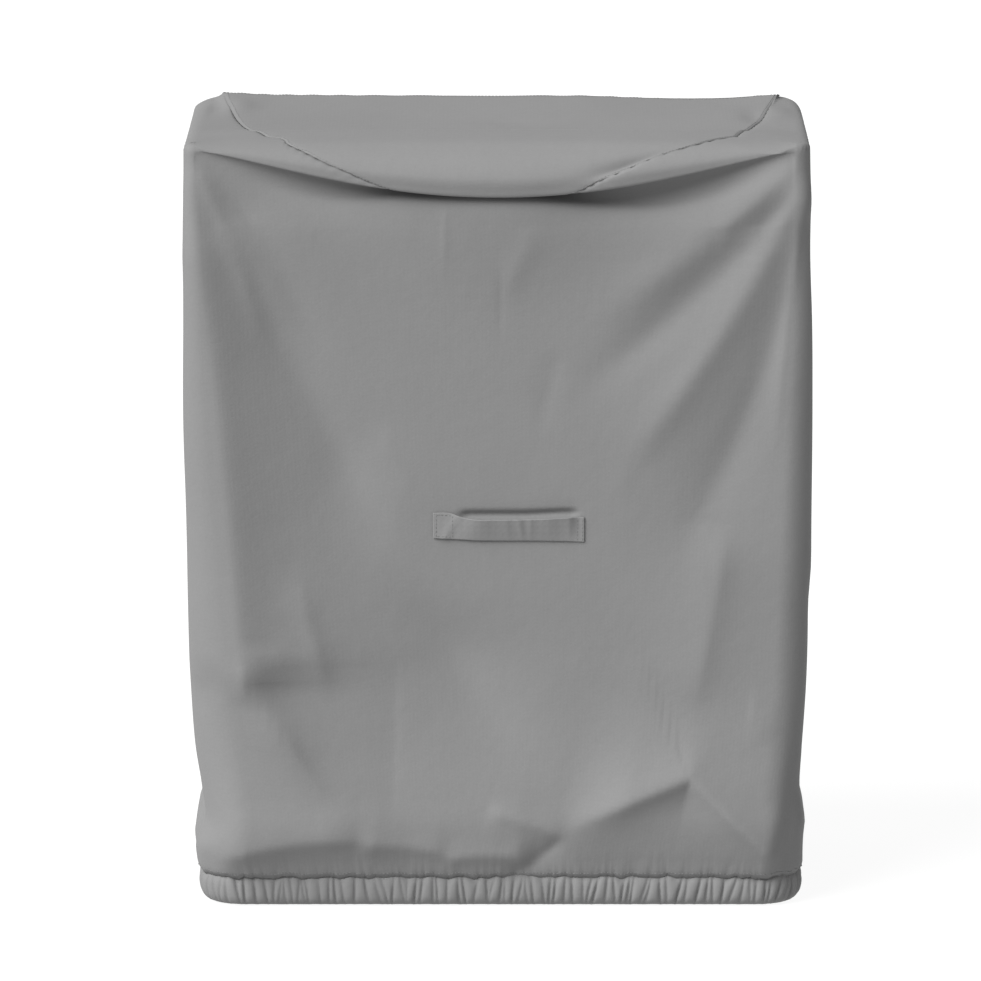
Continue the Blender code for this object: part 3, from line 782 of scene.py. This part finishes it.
@dataclass(frozen=True)
class Gathers:
    """Puffs of cloth drawn up by the elastic, uneven, with narrow valleys between them."""

    count: int = 228
    depth: float = 0.0040
    valley: float = 0.0021
    around: float = 2.76
    seed: int = 5

    def crease(self, turn: Array) -> Array:
        """Ups and downs of the line where the skirt folds over the elastic: three sines.

        Args:
            turn: share of the way round the hem.

        Returns:
            How far the line rises, in metres.
        """
        full = 2.0 * math.pi * turn
        return (0.0016 * np.sin(53.0 * full + 0.6 * np.sin(19.0 * full))
                + 0.0013 * np.sin(87.0 * full + 1.3 * np.sin(23.0 * full) + 1.0)
                + 0.0009 * np.sin(139.0 * full + 2.0))

    def wave(self, turn: Array, z: Array) -> Array:
        """Height of the puffs at a place round the hem, from about -0.9 to 0.5.

        The valleys stand at uneven gaps. Between two of them the cloth is a dome, higher
        over a wide gap, and each valley cuts it with a sharp bell of its own depth, which
        is deepest at a height of its own. The puffs lean by a slant that drifts along.

        Args:
            turn: share of the way round the hem.
            z: height.

        Returns:
            The height, for a depth of 1.
        """
        chance = np.random.default_rng(self.seed)
        gaps = chance.uniform(0.45, 1.55, self.count)
        places = np.concatenate([[0.0], np.cumsum(gaps) / gaps.sum()])
        strengths = np.resize(chance.uniform(0.35, 1.15, self.count), self.count + 1)
        deepest = np.resize(chance.uniform(-0.01, 0.06, self.count), self.count + 1)
        slants = np.resize(chance.normal(0.0, 0.16, self.count), self.count + 1)
        turn, z = np.broadcast_arrays(turn, z)
        lean = np.interp(turn, places, slants) / self.around
        place = np.clip(turn - lean * (z - 0.025), 0.0, 1.0 - 1e-9)
        low = np.clip(np.searchsorted(places, place, side="right") - 1, 0, self.count - 1)
        gap = places[low + 1] - places[low]
        part = (place - places[low]) / gap
        dome = (1.0 - (2.0 * part - 1.0) ** 2) * np.minimum(gap * self.count, 1.4)
        cut = np.zeros_like(part)
        for side, away in ((0, part), (1, 1.0 - part)):
            strength = strengths[low + side] * np.exp(-((z - deepest[low + side]) / 0.045) ** 2)
            cut = cut + strength * np.exp(-(away * gap * self.around / self.valley) ** 1.3)
        return 0.34 * dome - 0.75 * cut


@dataclass
class Skirt:
    """The wrap-around body from above the elastic to the seams of the top panel."""

    form: CoverForm
    gathers: Gathers
    cloth: float = 0.0010
    # Columns on each run of the outline, in the order of its stations
    columns: tuple[int, ...] = (264, 16, 36, 8, 60, 8, 36, 16)
    upper_rows: int = 36
    path_samples: int = 160
    lowest: float = 0.0445
    fine_below: float = 0.25
    fine_rows: int = 28
    wall_rows: tuple[int, ...] = (14, 10, 22)
    # Heights between which the wall rows are spread, closer round the strap
    wall_parts: tuple[float, ...] = (0.25, 0.576, 0.606, 1.012)
    curl: Rows = ((0.040, 0.0060), (0.045, 0.0040), (0.050, 0.0012), (0.056, 0.0), (0.070, 0.0))
    gather_height: float = 0.020
    gather_share: float = 0.75
    seam_gap: float = 0.0002
    groove_depth: float = 0.0018
    groove_reach: float = 0.006
    flat: Point = (2.95, 1.33)

    def stations(self) -> Array:
        """Stations of the columns, starting at the left end of the front."""
        runs = [run + np.arange(count) / count for run, count in enumerate(self.columns)]
        return np.concatenate(runs)

    def turn(self, stations: Array) -> Array:
        """Share of the way round the hem at each station.

        Args:
            stations: stations of the columns.

        Returns:
            The share of the outline's length up to each of them.
        """
        fine = np.linspace(0.0, 8.0, 2401)[:-1]
        x, y, _, _ = self.form.outline_point(fine, np.full_like(fine, self.lowest))
        ring = np.stack([np.append(x, x[0]), np.append(y, y[0])], axis=-1)
        way = travelled(ring)
        return np.interp(stations, np.append(fine, 8.0), way / way[-1])

    def wall(self, stations: Array) -> Array:
        """Points of the wall, from the curl above the elastic to the start of the edge.

        Each point is the outline's point moved outwards by the folds and by the gathers,
        which die away upwards, and inwards by the curl.

        Args:
            stations: stations of the columns.

        Returns:
            Rows by columns by 3.
        """
        low = np.linspace(self.lowest, self.fine_below, self.fine_rows, endpoint=False)
        high = [np.linspace(start, end, count, endpoint=False) for start, end, count
                in zip(self.wall_parts, self.wall_parts[1:], self.wall_rows)]
        z, station = np.meshgrid(np.concatenate([low, *high]), stations, indexing="ij")
        x, y, out_x, out_y = self.form.outline_point(station, z)
        above = z - self.lowest
        z = z + self.gathers.crease(self.turn(stations))[None, :] * np.exp(-above / 0.012)
        wave = self.gathers.wave(self.turn(stations)[None, :], z)
        lift = self.form.relief(x, y, out_x, out_y, z)
        lift = lift - tables(self.curl)[0].at(z)
        lift = lift + self.gather_share * self.gathers.depth * wave * np.exp(
            -above / self.gather_height)
        return np.stack([x + out_x * lift, y + out_y * lift, z], axis=-1)

    def edge(self, stations: Array) -> Array:
        """Paths of the cloth from the wall over the edge to the seam, as dense points.

        A front column follows the edge path while it drifts sideways to its seam point. The
        others follow the plain path round the edge and then run straight in plan.

        Args:
            stations: stations of the columns.

        Returns:
            Columns by samples by 3.
        """
        form = self.form
        seam = form.seam_point(stations)[:, None, :]
        meeting = form.seam_step(stations)[:, None]
        on_front = (stations < 1.0)[:, None]
        last = np.where(on_front, np.minimum(meeting, form.shoulder_step), form.round_step)
        part = np.linspace(0.0, 1.0, self.path_samples)
        step = last * part
        station = np.broadcast_to(stations[:, None], step.shape)
        front_only = np.broadcast_to(on_front, step.shape).astype(float)
        start_x = form.outline_point(station, np.full_like(step, form.top_height))[0]
        drift = (step - form.drift_step) / np.maximum(last - form.drift_step, 1.0)
        drift = smooth_step(drift) * front_only
        start_x = start_x + (seam[..., 0] - start_x) * drift
        inset, z = form.edge_path(step, form.roll(start_x) * front_only, start_x)
        x, y, out_x, out_y = form.outline_point(station, np.minimum(z, form.top_height))
        inset = inset + form.shoulder_inset(x, y) * smooth_step((step - 2.0) / 6.0) * np.abs(
            out_x)
        lift = form.relief(x, y, out_x, out_y, z) * smooth_step(1.0 - step / form.drift_step)
        x = x + out_x * (lift - inset)
        x = x + (seam[..., 0] - x) * drift
        y = y + out_y * (lift - inset)
        z = z + form.corner_lift(x, y) * smooth_step(step / form.round_step)
        z = z + (form.top_z(x, y) - z) * form.on_top(step)
        edge = np.stack([x, y, z], axis=-1)
        corner = edge[:, -1:, :]
        beyond = corner + (seam - corner) * part[1:, None]
        step_up = corner[..., 2] - form.top_z(corner[..., 0], corner[..., 1])
        surface = form.top_z(beyond[..., 0], beyond[..., 1]) + (1.0 - part[1:]) * step_up
        past_edge = ~on_front | (meeting > form.shoulder_step)
        beyond[..., 2] = np.where(past_edge, surface, beyond[..., 2])
        return np.concatenate([edge, beyond], axis=1)

    def upper(self, stations: Array) -> Array:
        """Evenly spaced rows along the edge paths, all columns interpolated at once.

        Each column's share of its own length is set 2 apart from the next one's, so that one
        interpolation serves them all.

        Args:
            stations: stations of the columns.

        Returns:
            Rows by columns by 3.
        """
        paths = self.edge(stations)
        way = travelled(paths, axis=1)
        offset = 2.0 * np.arange(len(stations))[:, None]
        places = (way / way[:, -1:] + offset).ravel()
        marks = (np.linspace(0.0, 1.0, self.upper_rows + 1)[None, :] + offset).ravel()
        rows = [np.interp(marks, places, paths[..., axis].ravel()) for axis in range(3)]
        grid = np.stack(rows, axis=-1).reshape(len(stations), self.upper_rows + 1, 3)
        return np.moveaxis(grid, 0, 1)

    def points(self) -> Array:
        """Whole grid of the skirt, with the groove of the seam pressed in at its top.

        The groove falls off as an exponential with the way from the seam, and a sine along
        the seam puckers it.

        Returns:
            Rows by columns by 3.
        """
        stations = self.stations()
        upper = self.upper(stations)
        grid = np.concatenate([self.wall(stations), upper])
        way = travelled(grid[::-1])[::-1]
        normal = smooth_normals(grid, closed=True)
        pucker = 1.0 + 0.35 * np.sin(2.0 * math.pi * self.turn(stations) * 190.0)
        press = self.groove_depth * np.exp(-way / self.groove_reach) * pucker
        grid = grid - normal * press[..., None]
        last = grid[-1] - grid[-2]
        grid[-1] -= last / np.linalg.norm(last, axis=-1, keepdims=True) * self.seam_gap
        return grid

    def build(self, finish: bpy.types.Material) -> bpy.types.Object:
        """Build the skirt's mesh and dress it.

        Args:
            finish: the cloth's material.

        Returns:
            The piece.
        """
        grid = self.points()
        turn = np.append(self.turn(self.stations()), 1.0) * self.flat[0]
        way = travelled(grid)
        way = np.concatenate([way, way[:, :1]], axis=1)
        uv = np.stack([np.broadcast_to(turn, way.shape), way], axis=-1)
        piece = grid_object("skirt_cloth", grid, uv, closed=True)
        thicken(piece, self.cloth)
        piece.data.materials.append(finish)
        return piece


@dataclass
class GatheredHem:
    """The elastic casing under the skirt, gathered all round and tucked in below."""

    form: CoverForm
    gathers: Gathers
    cloth: float = 0.0010
    columns: int = 1696
    # Way round the casing: inset, z, share of the gathers' depth
    profile: Rows = (
        (0.0, 0.0075, 0.050, 0.25),
        (1.0, 0.0040, 0.044, 0.45),
        (2.0, 0.0010, 0.037, 0.85),
        (3.0, 0.0000, 0.028, 1.00),
        (4.0, 0.0010, 0.017, 1.00),
        (5.0, 0.0045, 0.008, 0.95),
        (6.0, 0.0130, 0.002, 0.80),
        (7.0, 0.0340, 0.001, 0.60),
        (8.0, 0.0480, 0.004, 0.60),
        (9.0, 0.0560, 0.011, 0.50),
    )
    rows: int = 22
    flat: Point = (3.70, 0.095)

    def points(self, skirt: Skirt) -> tuple[Array, Array]:
        """Grid of the casing, and the share of the way round of its columns.

        Each row is the outline at one height, moved in by the profile and out by the
        gathers, so a column runs from under the skirt's curl down, under and up inside.

        Args:
            skirt: the skirt, which knows the way round the hem.

        Returns:
            Rows by columns by 3, and one share for each column.
        """
        fine = np.linspace(0.0, 8.0, 4001)
        turn = np.arange(self.columns) / self.columns
        stations = np.interp(turn, skirt.turn(fine[:-1]), fine[:-1])
        marks = np.linspace(self.profile[-1][0], 0.0, self.rows)
        inset, height, share = (table.at(marks)[:, None] for table in tables(self.profile))
        station = np.broadcast_to(stations, (self.rows, self.columns))
        z = height + self.gathers.crease(turn)[None, :] * smooth_step(height / 0.045)
        x, y, out_x, out_y = self.form.outline_point(station, z)
        wave = self.gathers.wave(turn[None, :], z)
        lift = self.gathers.depth * share * wave - inset
        rise = np.maximum(z + 0.35 * self.gathers.depth * share * wave * (z < 0.012), 0.0)
        return np.stack([x + out_x * lift, y + out_y * lift, rise], axis=-1), turn

    def build(self, skirt: Skirt, finish: bpy.types.Material) -> bpy.types.Object:
        """Build the hem's mesh and dress it.

        Args:
            skirt: the skirt, which knows the way round the hem.
            finish: the cloth's material.

        Returns:
            The piece.
        """
        grid, turn = self.points(skirt)
        way = travelled(grid)
        way = np.concatenate([way, way[:, :1]], axis=1)
        across = np.append(turn, 1.0) * self.flat[0]
        uv = np.stack([np.broadcast_to(across, way.shape), way], axis=-1)
        piece = grid_object("gathered_hem", grid, uv, closed=True)
        thicken(piece, self.cloth)
        piece.data.materials.append(finish)
        return piece


@dataclass
class TopPanel:
    """The panel between the slanting seams, with its slack roll over the front edge."""

    form: CoverForm
    cloth: float = 0.0010
    columns: int = 133
    roll_rows: int = 66
    top_rows: tuple[int, ...] = (16, 36, 8)
    top_steps: tuple[float, ...] = (10.0, 10.25, 10.75, 11.0)
    seam_gap: float = 0.0002
    groove_depth: float = 0.0014
    groove_reach: float = 0.006
    # Dip of the panel beside the right seam on the roll: depth, reach, step, steps
    dip: tuple[float, ...] = (0.0080, 0.018, 7.4, 0.8)
    flat: Point = (0.82, 0.62)
    cut_area: float = 0.395

    def points(self) -> Array:
        """Grid of the panel, from its front seam to its back seam.

        Each row runs between the slanting seams at one step. The edges are pressed down
        into the groove of the seam, with small puckers along it.

        Returns:
            Rows by columns by 3.
        """
        form = self.form
        first = form.seams[0][0]
        steps = np.concatenate(
            [np.linspace(first, form.shoulder_step, self.roll_rows, endpoint=False)]
            + [np.linspace(low, high, count, endpoint=False) for low, high, count
               in zip(self.top_steps, self.top_steps[1:], self.top_rows)]
            + [[form.back_step]])
        left, right = (table.at(steps)[:, None] for table in tables(form.seams))
        x = left + (right - left) * np.linspace(0.0, 1.0, self.columns)
        grid = form.top_point(x, np.broadcast_to(steps[:, None], x.shape))
        down = travelled(grid)
        across = travelled(grid, axis=1)
        edge = np.minimum(np.minimum(across, across[:, -1:] - across), down[-1:] - down)
        edge = np.minimum(edge, down)
        pucker = 1.0 + 0.3 * np.sin(2.0 * math.pi * down / 0.013)
        press = self.groove_depth * np.exp(-edge / self.groove_reach) * pucker
        depth, reach, middle, steps_wide = self.dip
        beside = (across[:, -1:] - across) / reach
        press = press + depth * beside * np.exp(1.0 - beside) * bump(
            steps[:, None] - middle, steps_wide)
        grid = grid - smooth_normals(grid, closed=False) * press[..., None]
        return self.set_back(grid)

    def set_back(self, grid: Array) -> Array:
        """Draw all four edges back by the seam gap, as the skirt does on its side.

        Args:
            grid: rows by columns by 3.

        Returns:
            The same grid, with its edges moved.
        """
        for edge, inner in ((0, 1), (-1, -2)):
            for turned in (grid, grid.transpose(1, 0, 2)):
                along = turned[inner] - turned[edge]
                along /= np.linalg.norm(along, axis=-1, keepdims=True)
                turned[edge] += along * self.seam_gap
        return grid

    def build(self, finish: bpy.types.Material) -> bpy.types.Object:
        """Build the panel's mesh and dress it.

        Args:
            finish: the cloth's material.

        Returns:
            The piece.
        """
        grid = self.points()
        uv = np.stack([grid[..., 0], travelled(grid)], axis=-1)
        piece = grid_object("top_panel_cloth", grid, uv, closed=False)
        thicken(piece, self.cloth)
        piece.data.materials.append(finish)
        return piece


@dataclass
class StrapHandle:
    """Short strap sewn down at both ends, standing off the cloth between them."""

    form: CoverForm
    left: float = -0.095
    right: float = 0.128
    lift: float = 0.0095
    strap: float = 0.0022
    seat_gap: float = 0.0003
    columns: int = 150
    rows: int = 22
    # Along the strap: place, bottom, top, height off the cloth as a share of the lift
    shape: Rows = (
        (0.00, 0.5570, 0.5955, 0.00),
        (0.12, 0.5560, 0.5945, 0.00),
        (0.19, 0.5550, 0.5890, 0.35),
        (0.26, 0.5540, 0.5865, 0.85),
        (0.42, 0.5535, 0.5860, 1.00),
        (0.60, 0.5535, 0.5865, 1.00),
        (0.80, 0.5530, 0.5880, 0.95),
        (0.90, 0.5525, 0.5890, 0.60),
        (0.955, 0.5520, 0.5890, 0.05),
        (1.00, 0.5515, 0.5890, 0.00),
    )
    flat: Point = (0.235, 0.041)

    def outer(self) -> Array:
        """Outer face of the strap: a level band whose middle is lifted off the cloth.

        Returns:
            Rows by columns by 3.
        """
        place = np.linspace(0.0, 1.0, self.columns)
        up = np.linspace(0.0, 1.0, self.rows)[:, None]
        low, high, rise = (table.at(place)[None, :] for table in tables(self.shape))
        level = np.broadcast_to(self.left + (self.right - self.left) * place, (self.rows,
                                                                             self.columns))
        z = low + (high - low) * up
        front = -tables(self.form.outline)[2].at(z)
        lift = self.lift * np.maximum(rise, 0.0) * (0.04 + 0.96 * up)
        slanted = level + 0.006 * (up - 0.5)
        wrinkle = (0.0007 * bump(slanted - 0.014, 0.006) + 0.0013 * bump(slanted - 0.034, 0.005)
                   + 0.0008 * bump(level - 0.049, 0.004) + 0.0009 * bump(slanted - 0.078, 0.012)
                   + 0.0006 * bump(slanted + 0.020, 0.012) + 0.0008 * bump(level - 0.106, 0.007))
        wrinkle = wrinkle * smooth_step(0.35 + 0.8 * up)
        fold = 0.0012 * bump(level + 0.068 - 0.020 * (up - 0.5), 0.008)
        y = front - self.seat_gap - self.strap - lift - wrinkle - fold
        return np.stack([level, y, z], axis=-1)

    def build(self, finish: bpy.types.Material) -> bpy.types.Object:
        """Build the strap's mesh and dress it.

        Args:
            finish: the strap's material.

        Returns:
            The piece.
        """
        grid = self.outer()
        uv = np.stack([grid[..., 0], grid[..., 2]], axis=-1)
        piece = grid_object("handle_strap", grid, uv, closed=False)
        thicken(piece, self.strap)
        soft = piece.modifiers.new("soft edges", "BEVEL")
        soft.width = 0.0009
        soft.segments = 2
        piece.data.materials.append(finish)
        return piece


@dataclass
class Stitching:
    """Rows of short stitches along a line of points on the cloth."""

    length: float = 0.0036
    pitch: float = 0.0052
    radius: float = 0.00042
    sides: int = 6

    def capsule(self) -> tuple[Array, Array]:
        """Vertices and quads of one stitch, a small closed barrel along its own x axis.

        Returns:
            Vertices by 3 and quads by 4, where the end rings shrink to almost a point.
        """
        along = np.array([-0.5, -0.38, 0.38, 0.5]) * self.length
        size = np.array([0.15, 1.0, 1.0, 0.15]) * self.radius
        angle = np.arange(self.sides) * 2.0 * math.pi / self.sides
        ring = np.stack([np.zeros_like(angle), np.cos(angle), np.sin(angle)], axis=-1)
        points = ring[None] * size[:, None, None]
        points[..., 0] += along[:, None]
        index = np.arange(points.shape[0] * self.sides).reshape(-1, self.sides)
        after = np.roll(index, -1, axis=1)
        quads = np.stack([index[:-1], after[:-1], after[1:], index[1:]], axis=-1)
        return points.reshape(-1, 3), quads.reshape(-1, 4)

    def spots(self, line: Array, normal: Array) -> tuple[Array, Array, Array]:
        """Centres, directions and normals of the stitches spaced along a line.

        Args:
            line: points of the line.
            normal: the cloth's normals there.

        Returns:
            One row of 3 for each stitch in each of them.
        """
        way = travelled(line)
        count = max(int(way[-1] / self.pitch), 1)
        marks = (np.arange(count) + 0.5) * way[-1] / count
        centre, facing, ahead, behind = (
            np.stack([np.interp(places, way, source[:, axis]) for axis in range(3)], axis=-1)
            for places, source in ((marks, line), (marks, normal),
                                   (marks + 0.001, line), (marks - 0.001, line)))
        run = ahead - behind
        run /= np.linalg.norm(run, axis=-1, keepdims=True)
        facing -= run * np.sum(run * facing, axis=-1, keepdims=True)
        facing /= np.linalg.norm(facing, axis=-1, keepdims=True)
        return centre, run, facing

    def build(self, name: str, lines: list[tuple[Array, Array]],
              finish: bpy.types.Material) -> bpy.types.Object:
        """Build all the stitches along some lines as one mesh.

        Args:
            name: name of the piece.
            lines: for each row of stitches, its points and the cloth's normals there.
            finish: the thread's material.

        Returns:
            The piece.
        """
        spots = [self.spots(line, normal) for line, normal in lines]
        centre, run, facing = (np.concatenate([spot[k] for spot in spots]) for k in range(3))
        side = np.cross(facing, run)
        points, quads = self.capsule()
        axes = np.stack([run, side, facing], axis=1)
        vertices = centre[:, None] + np.einsum("vk,nkc->nvc", points, axes)
        first = np.arange(len(centre))[:, None, None] * len(points)
        faces = (quads[None] + first).reshape(-1, 4)
        ends = np.arange(self.sides)
        caps = np.stack([ends[::-1], ends + len(points) - self.sides])
        caps = (caps[None] + first).reshape(-1, self.sides)
        mesh = bpy.data.meshes.new(name)
        mesh.from_pydata(vertices.reshape(-1, 3), [], faces.tolist() + caps.tolist())
        mesh.shade_smooth()
        mesh.materials.append(finish)
        piece = bpy.data.objects.new(name, mesh)
        bpy.context.scene.collection.objects.link(piece)
        return piece


def seam_lines(panel: TopPanel, inset: float) -> list[tuple[Array, Array]]:
    """Lines on the top panel that run inside its slanting seams and its back seam.

    Args:
        panel: the top panel.
        inset: how far inside the seams they run.

    Returns:
        For each line, its points and the cloth's normals there.
    """
    grid = panel.points()
    normal = smooth_normals(grid, closed=False)
    across = travelled(grid, axis=1)
    down = travelled(grid)
    lines = []
    for distance in (across, across[:, -1:] - across):
        column = np.argmin(np.abs(distance - inset), axis=1)
        rows = np.arange(len(grid))
        facing = normal[rows, column]
        lines.append((grid[rows, column] + THREAD_PROUD * facing, facing))
    row = int(np.argmin(np.abs(down[-1, 0] - down[:, 0] - inset)))
    lines.append((grid[row] + THREAD_PROUD * normal[row], normal[row]))
    return lines


def hem_line(skirt: Skirt, z: float) -> list[tuple[Array, Array]]:
    """Closed line round the skirt at the top of the curl over the elastic.

    Args:
        skirt: the skirt that carries the stitches.
        z: height of the line.

    Returns:
        The line's points and the cloth's normals there.
    """
    grid = skirt.wall(np.linspace(0.0, LAST_STATION, HEM_LINE_POINTS))
    row = int(np.argmin(np.abs(grid[:, 0, 2] - z)))
    normal = smooth_normals(grid, closed=True)
    return [(grid[row] + THREAD_PROUD * normal[row], normal[row])]


def handle_lines(handle: StrapHandle) -> list[tuple[Array, Array]]:
    """Stitch lines across both ends of the strap and along its left tab.

    Args:
        handle: the strap.

    Returns:
        For each line, its points and the strap's normals there.
    """
    grid = handle.outer()
    normal = smooth_normals(grid, closed=False)
    columns = [int(round(share * (handle.columns - 1))) for share in (0.02, 0.13, 0.955, 0.985)]
    rows = (2, handle.rows - 3)
    lines = [(grid[1:-1, column], normal[1:-1, column]) for column in columns]
    for row in rows:
        lines.append((grid[row, columns[0]:columns[1]], normal[row, columns[0]:columns[1]]))
    return [(line + THREAD_PROUD * facing, facing) for line, facing in lines]


@dataclass(frozen=True)
class Studio:
    """Camera at the photo's angle, a pale floor and soft light from the upper left."""

    elevation: float = 9.5
    distance: float = 14.0
    metres_per_pixel: float = 0.001472
    frame_pixels: int = 981
    sensor: float = 36.0
    aim: tuple[float, float, float] = (-0.0104, -0.27, 0.6285)
    key_from: tuple[float, float, float] = (-0.58, -0.48, 0.66)
    key_strength: float = 7.2
    key_spread: float = 45.0
    world_strength: float = 0.50
    floor_size: float = 160.0

    def build(self) -> None:
        """Make the camera, the key light, the world and the floor."""
        scene = bpy.context.scene
        scene.view_settings.view_transform = "Standard"
        self.add_camera(scene)
        self.add_light(scene)
        world = bpy.data.worlds.new("soft_room")
        world.use_nodes = True
        background = world.node_tree.nodes["Background"]
        background.inputs["Color"].default_value = (1.0, 1.0, 1.0, 1.0)
        background.inputs["Strength"].default_value = self.world_strength
        scene.world = world
        half = 0.5 * self.floor_size
        mesh = bpy.data.meshes.new("studio_floor")
        mesh.from_pydata([(-half, -half, 0.0), (half, -half, 0.0), (half, half, 0.0),
                          (-half, half, 0.0)], [], [(0, 1, 2, 3)])
        mesh.materials.append(FloorFinish().material())
        floor = bpy.data.objects.new("studio_floor", mesh)
        scene.collection.objects.link(floor)

    def add_camera(self, scene: bpy.types.Scene) -> None:
        """Camera in front, a little above, whose lens gives the photo's scale.

        Args:
            scene: the scene that gets it.
        """
        camera = bpy.data.cameras.new("camera")
        camera.sensor_width = self.sensor
        camera.lens = self.sensor * self.distance / (self.metres_per_pixel * self.frame_pixels)
        camera.clip_end = 200.0
        holder = bpy.data.objects.new("camera", camera)
        tilt = math.radians(self.elevation)
        back = Vector((0.0, -math.cos(tilt), math.sin(tilt)))
        holder.location = Vector(self.aim) + back * self.distance
        holder.rotation_euler = (-back).to_track_quat("-Z", "Y").to_euler()
        scene.collection.objects.link(holder)
        scene.camera = holder

    def add_light(self, scene: bpy.types.Scene) -> None:
        """Soft key light from the upper left in front, even over the whole floor.

        Args:
            scene: the scene that gets it.
        """
        light = bpy.data.lights.new("key", "SUN")
        light.energy = self.key_strength
        light.angle = math.radians(self.key_spread)
        holder = bpy.data.objects.new("key", light)
        holder.rotation_euler = (-Vector(self.key_from)).to_track_quat("-Z", "Y").to_euler()
        scene.collection.objects.link(holder)


@dataclass
class Cover:
    """The whole cover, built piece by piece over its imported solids."""

    form: CoverForm = field(default_factory=CoverForm)
    gathers: Gathers = field(default_factory=Gathers)
    cloth_colour: tuple[float, float, float] = (0.130, 0.130, 0.130)
    strap_colour: tuple[float, float, float] = (0.136, 0.136, 0.136)
    stitch_inset: float = 0.006
    hem_stitch_height: float = 0.053

    def build(self) -> None:
        """Build and dress every piece, attach each to the body, and report each."""
        cloth = ClothFinish("cover_cloth", self.cloth_colour).material()
        strap = ClothFinish("strap_cloth", self.strap_colour, band_pitch=0.0100531,
                            weave_depth=0.00012, crumple_depth=0.0004).material()
        thread = ThreadFinish().material()
        skirt = Skirt(self.form, self.gathers)
        hem = GatheredHem(self.form, self.gathers)
        panel = TopPanel(self.form)
        handle = StrapHandle(self.form)
        sewing = Stitching()
        skirt_piece = skirt.build(cloth)
        hem_piece = hem.build(skirt, cloth)
        panel_piece = panel.build(cloth)
        handle_piece = handle.build(strap)
        hem_stitches = sewing.build("hem_stitches", hem_line(skirt, self.hem_stitch_height),
                                    thread)
        seam_stitches = sewing.build("seam_stitches", seam_lines(panel, self.stitch_inset),
                                     thread)
        handle_stitches = sewing.build("handle_stitches", handle_lines(handle), thread)
        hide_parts("skirt")
        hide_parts("top_panel")
        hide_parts("handle")
        pieces = {"cover_cloth": (skirt_piece, hem_piece, panel_piece, hem_stitches,
                                  seam_stitches),
                  "strap_cloth": (handle_piece, handle_stitches)}
        for slot, dressed in pieces.items():
            for piece in dressed:
                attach(piece, BODY)
                LOG.info("%s: %d faces", piece.name, len(piece.data.polygons))


def main() -> None:
    """Build the studio and the cover."""
    logging.basicConfig(level=logging.INFO, format="%(name)s: %(message)s")
    Studio().build()
    Cover().build()


if __name__ == "__main__":
    main()
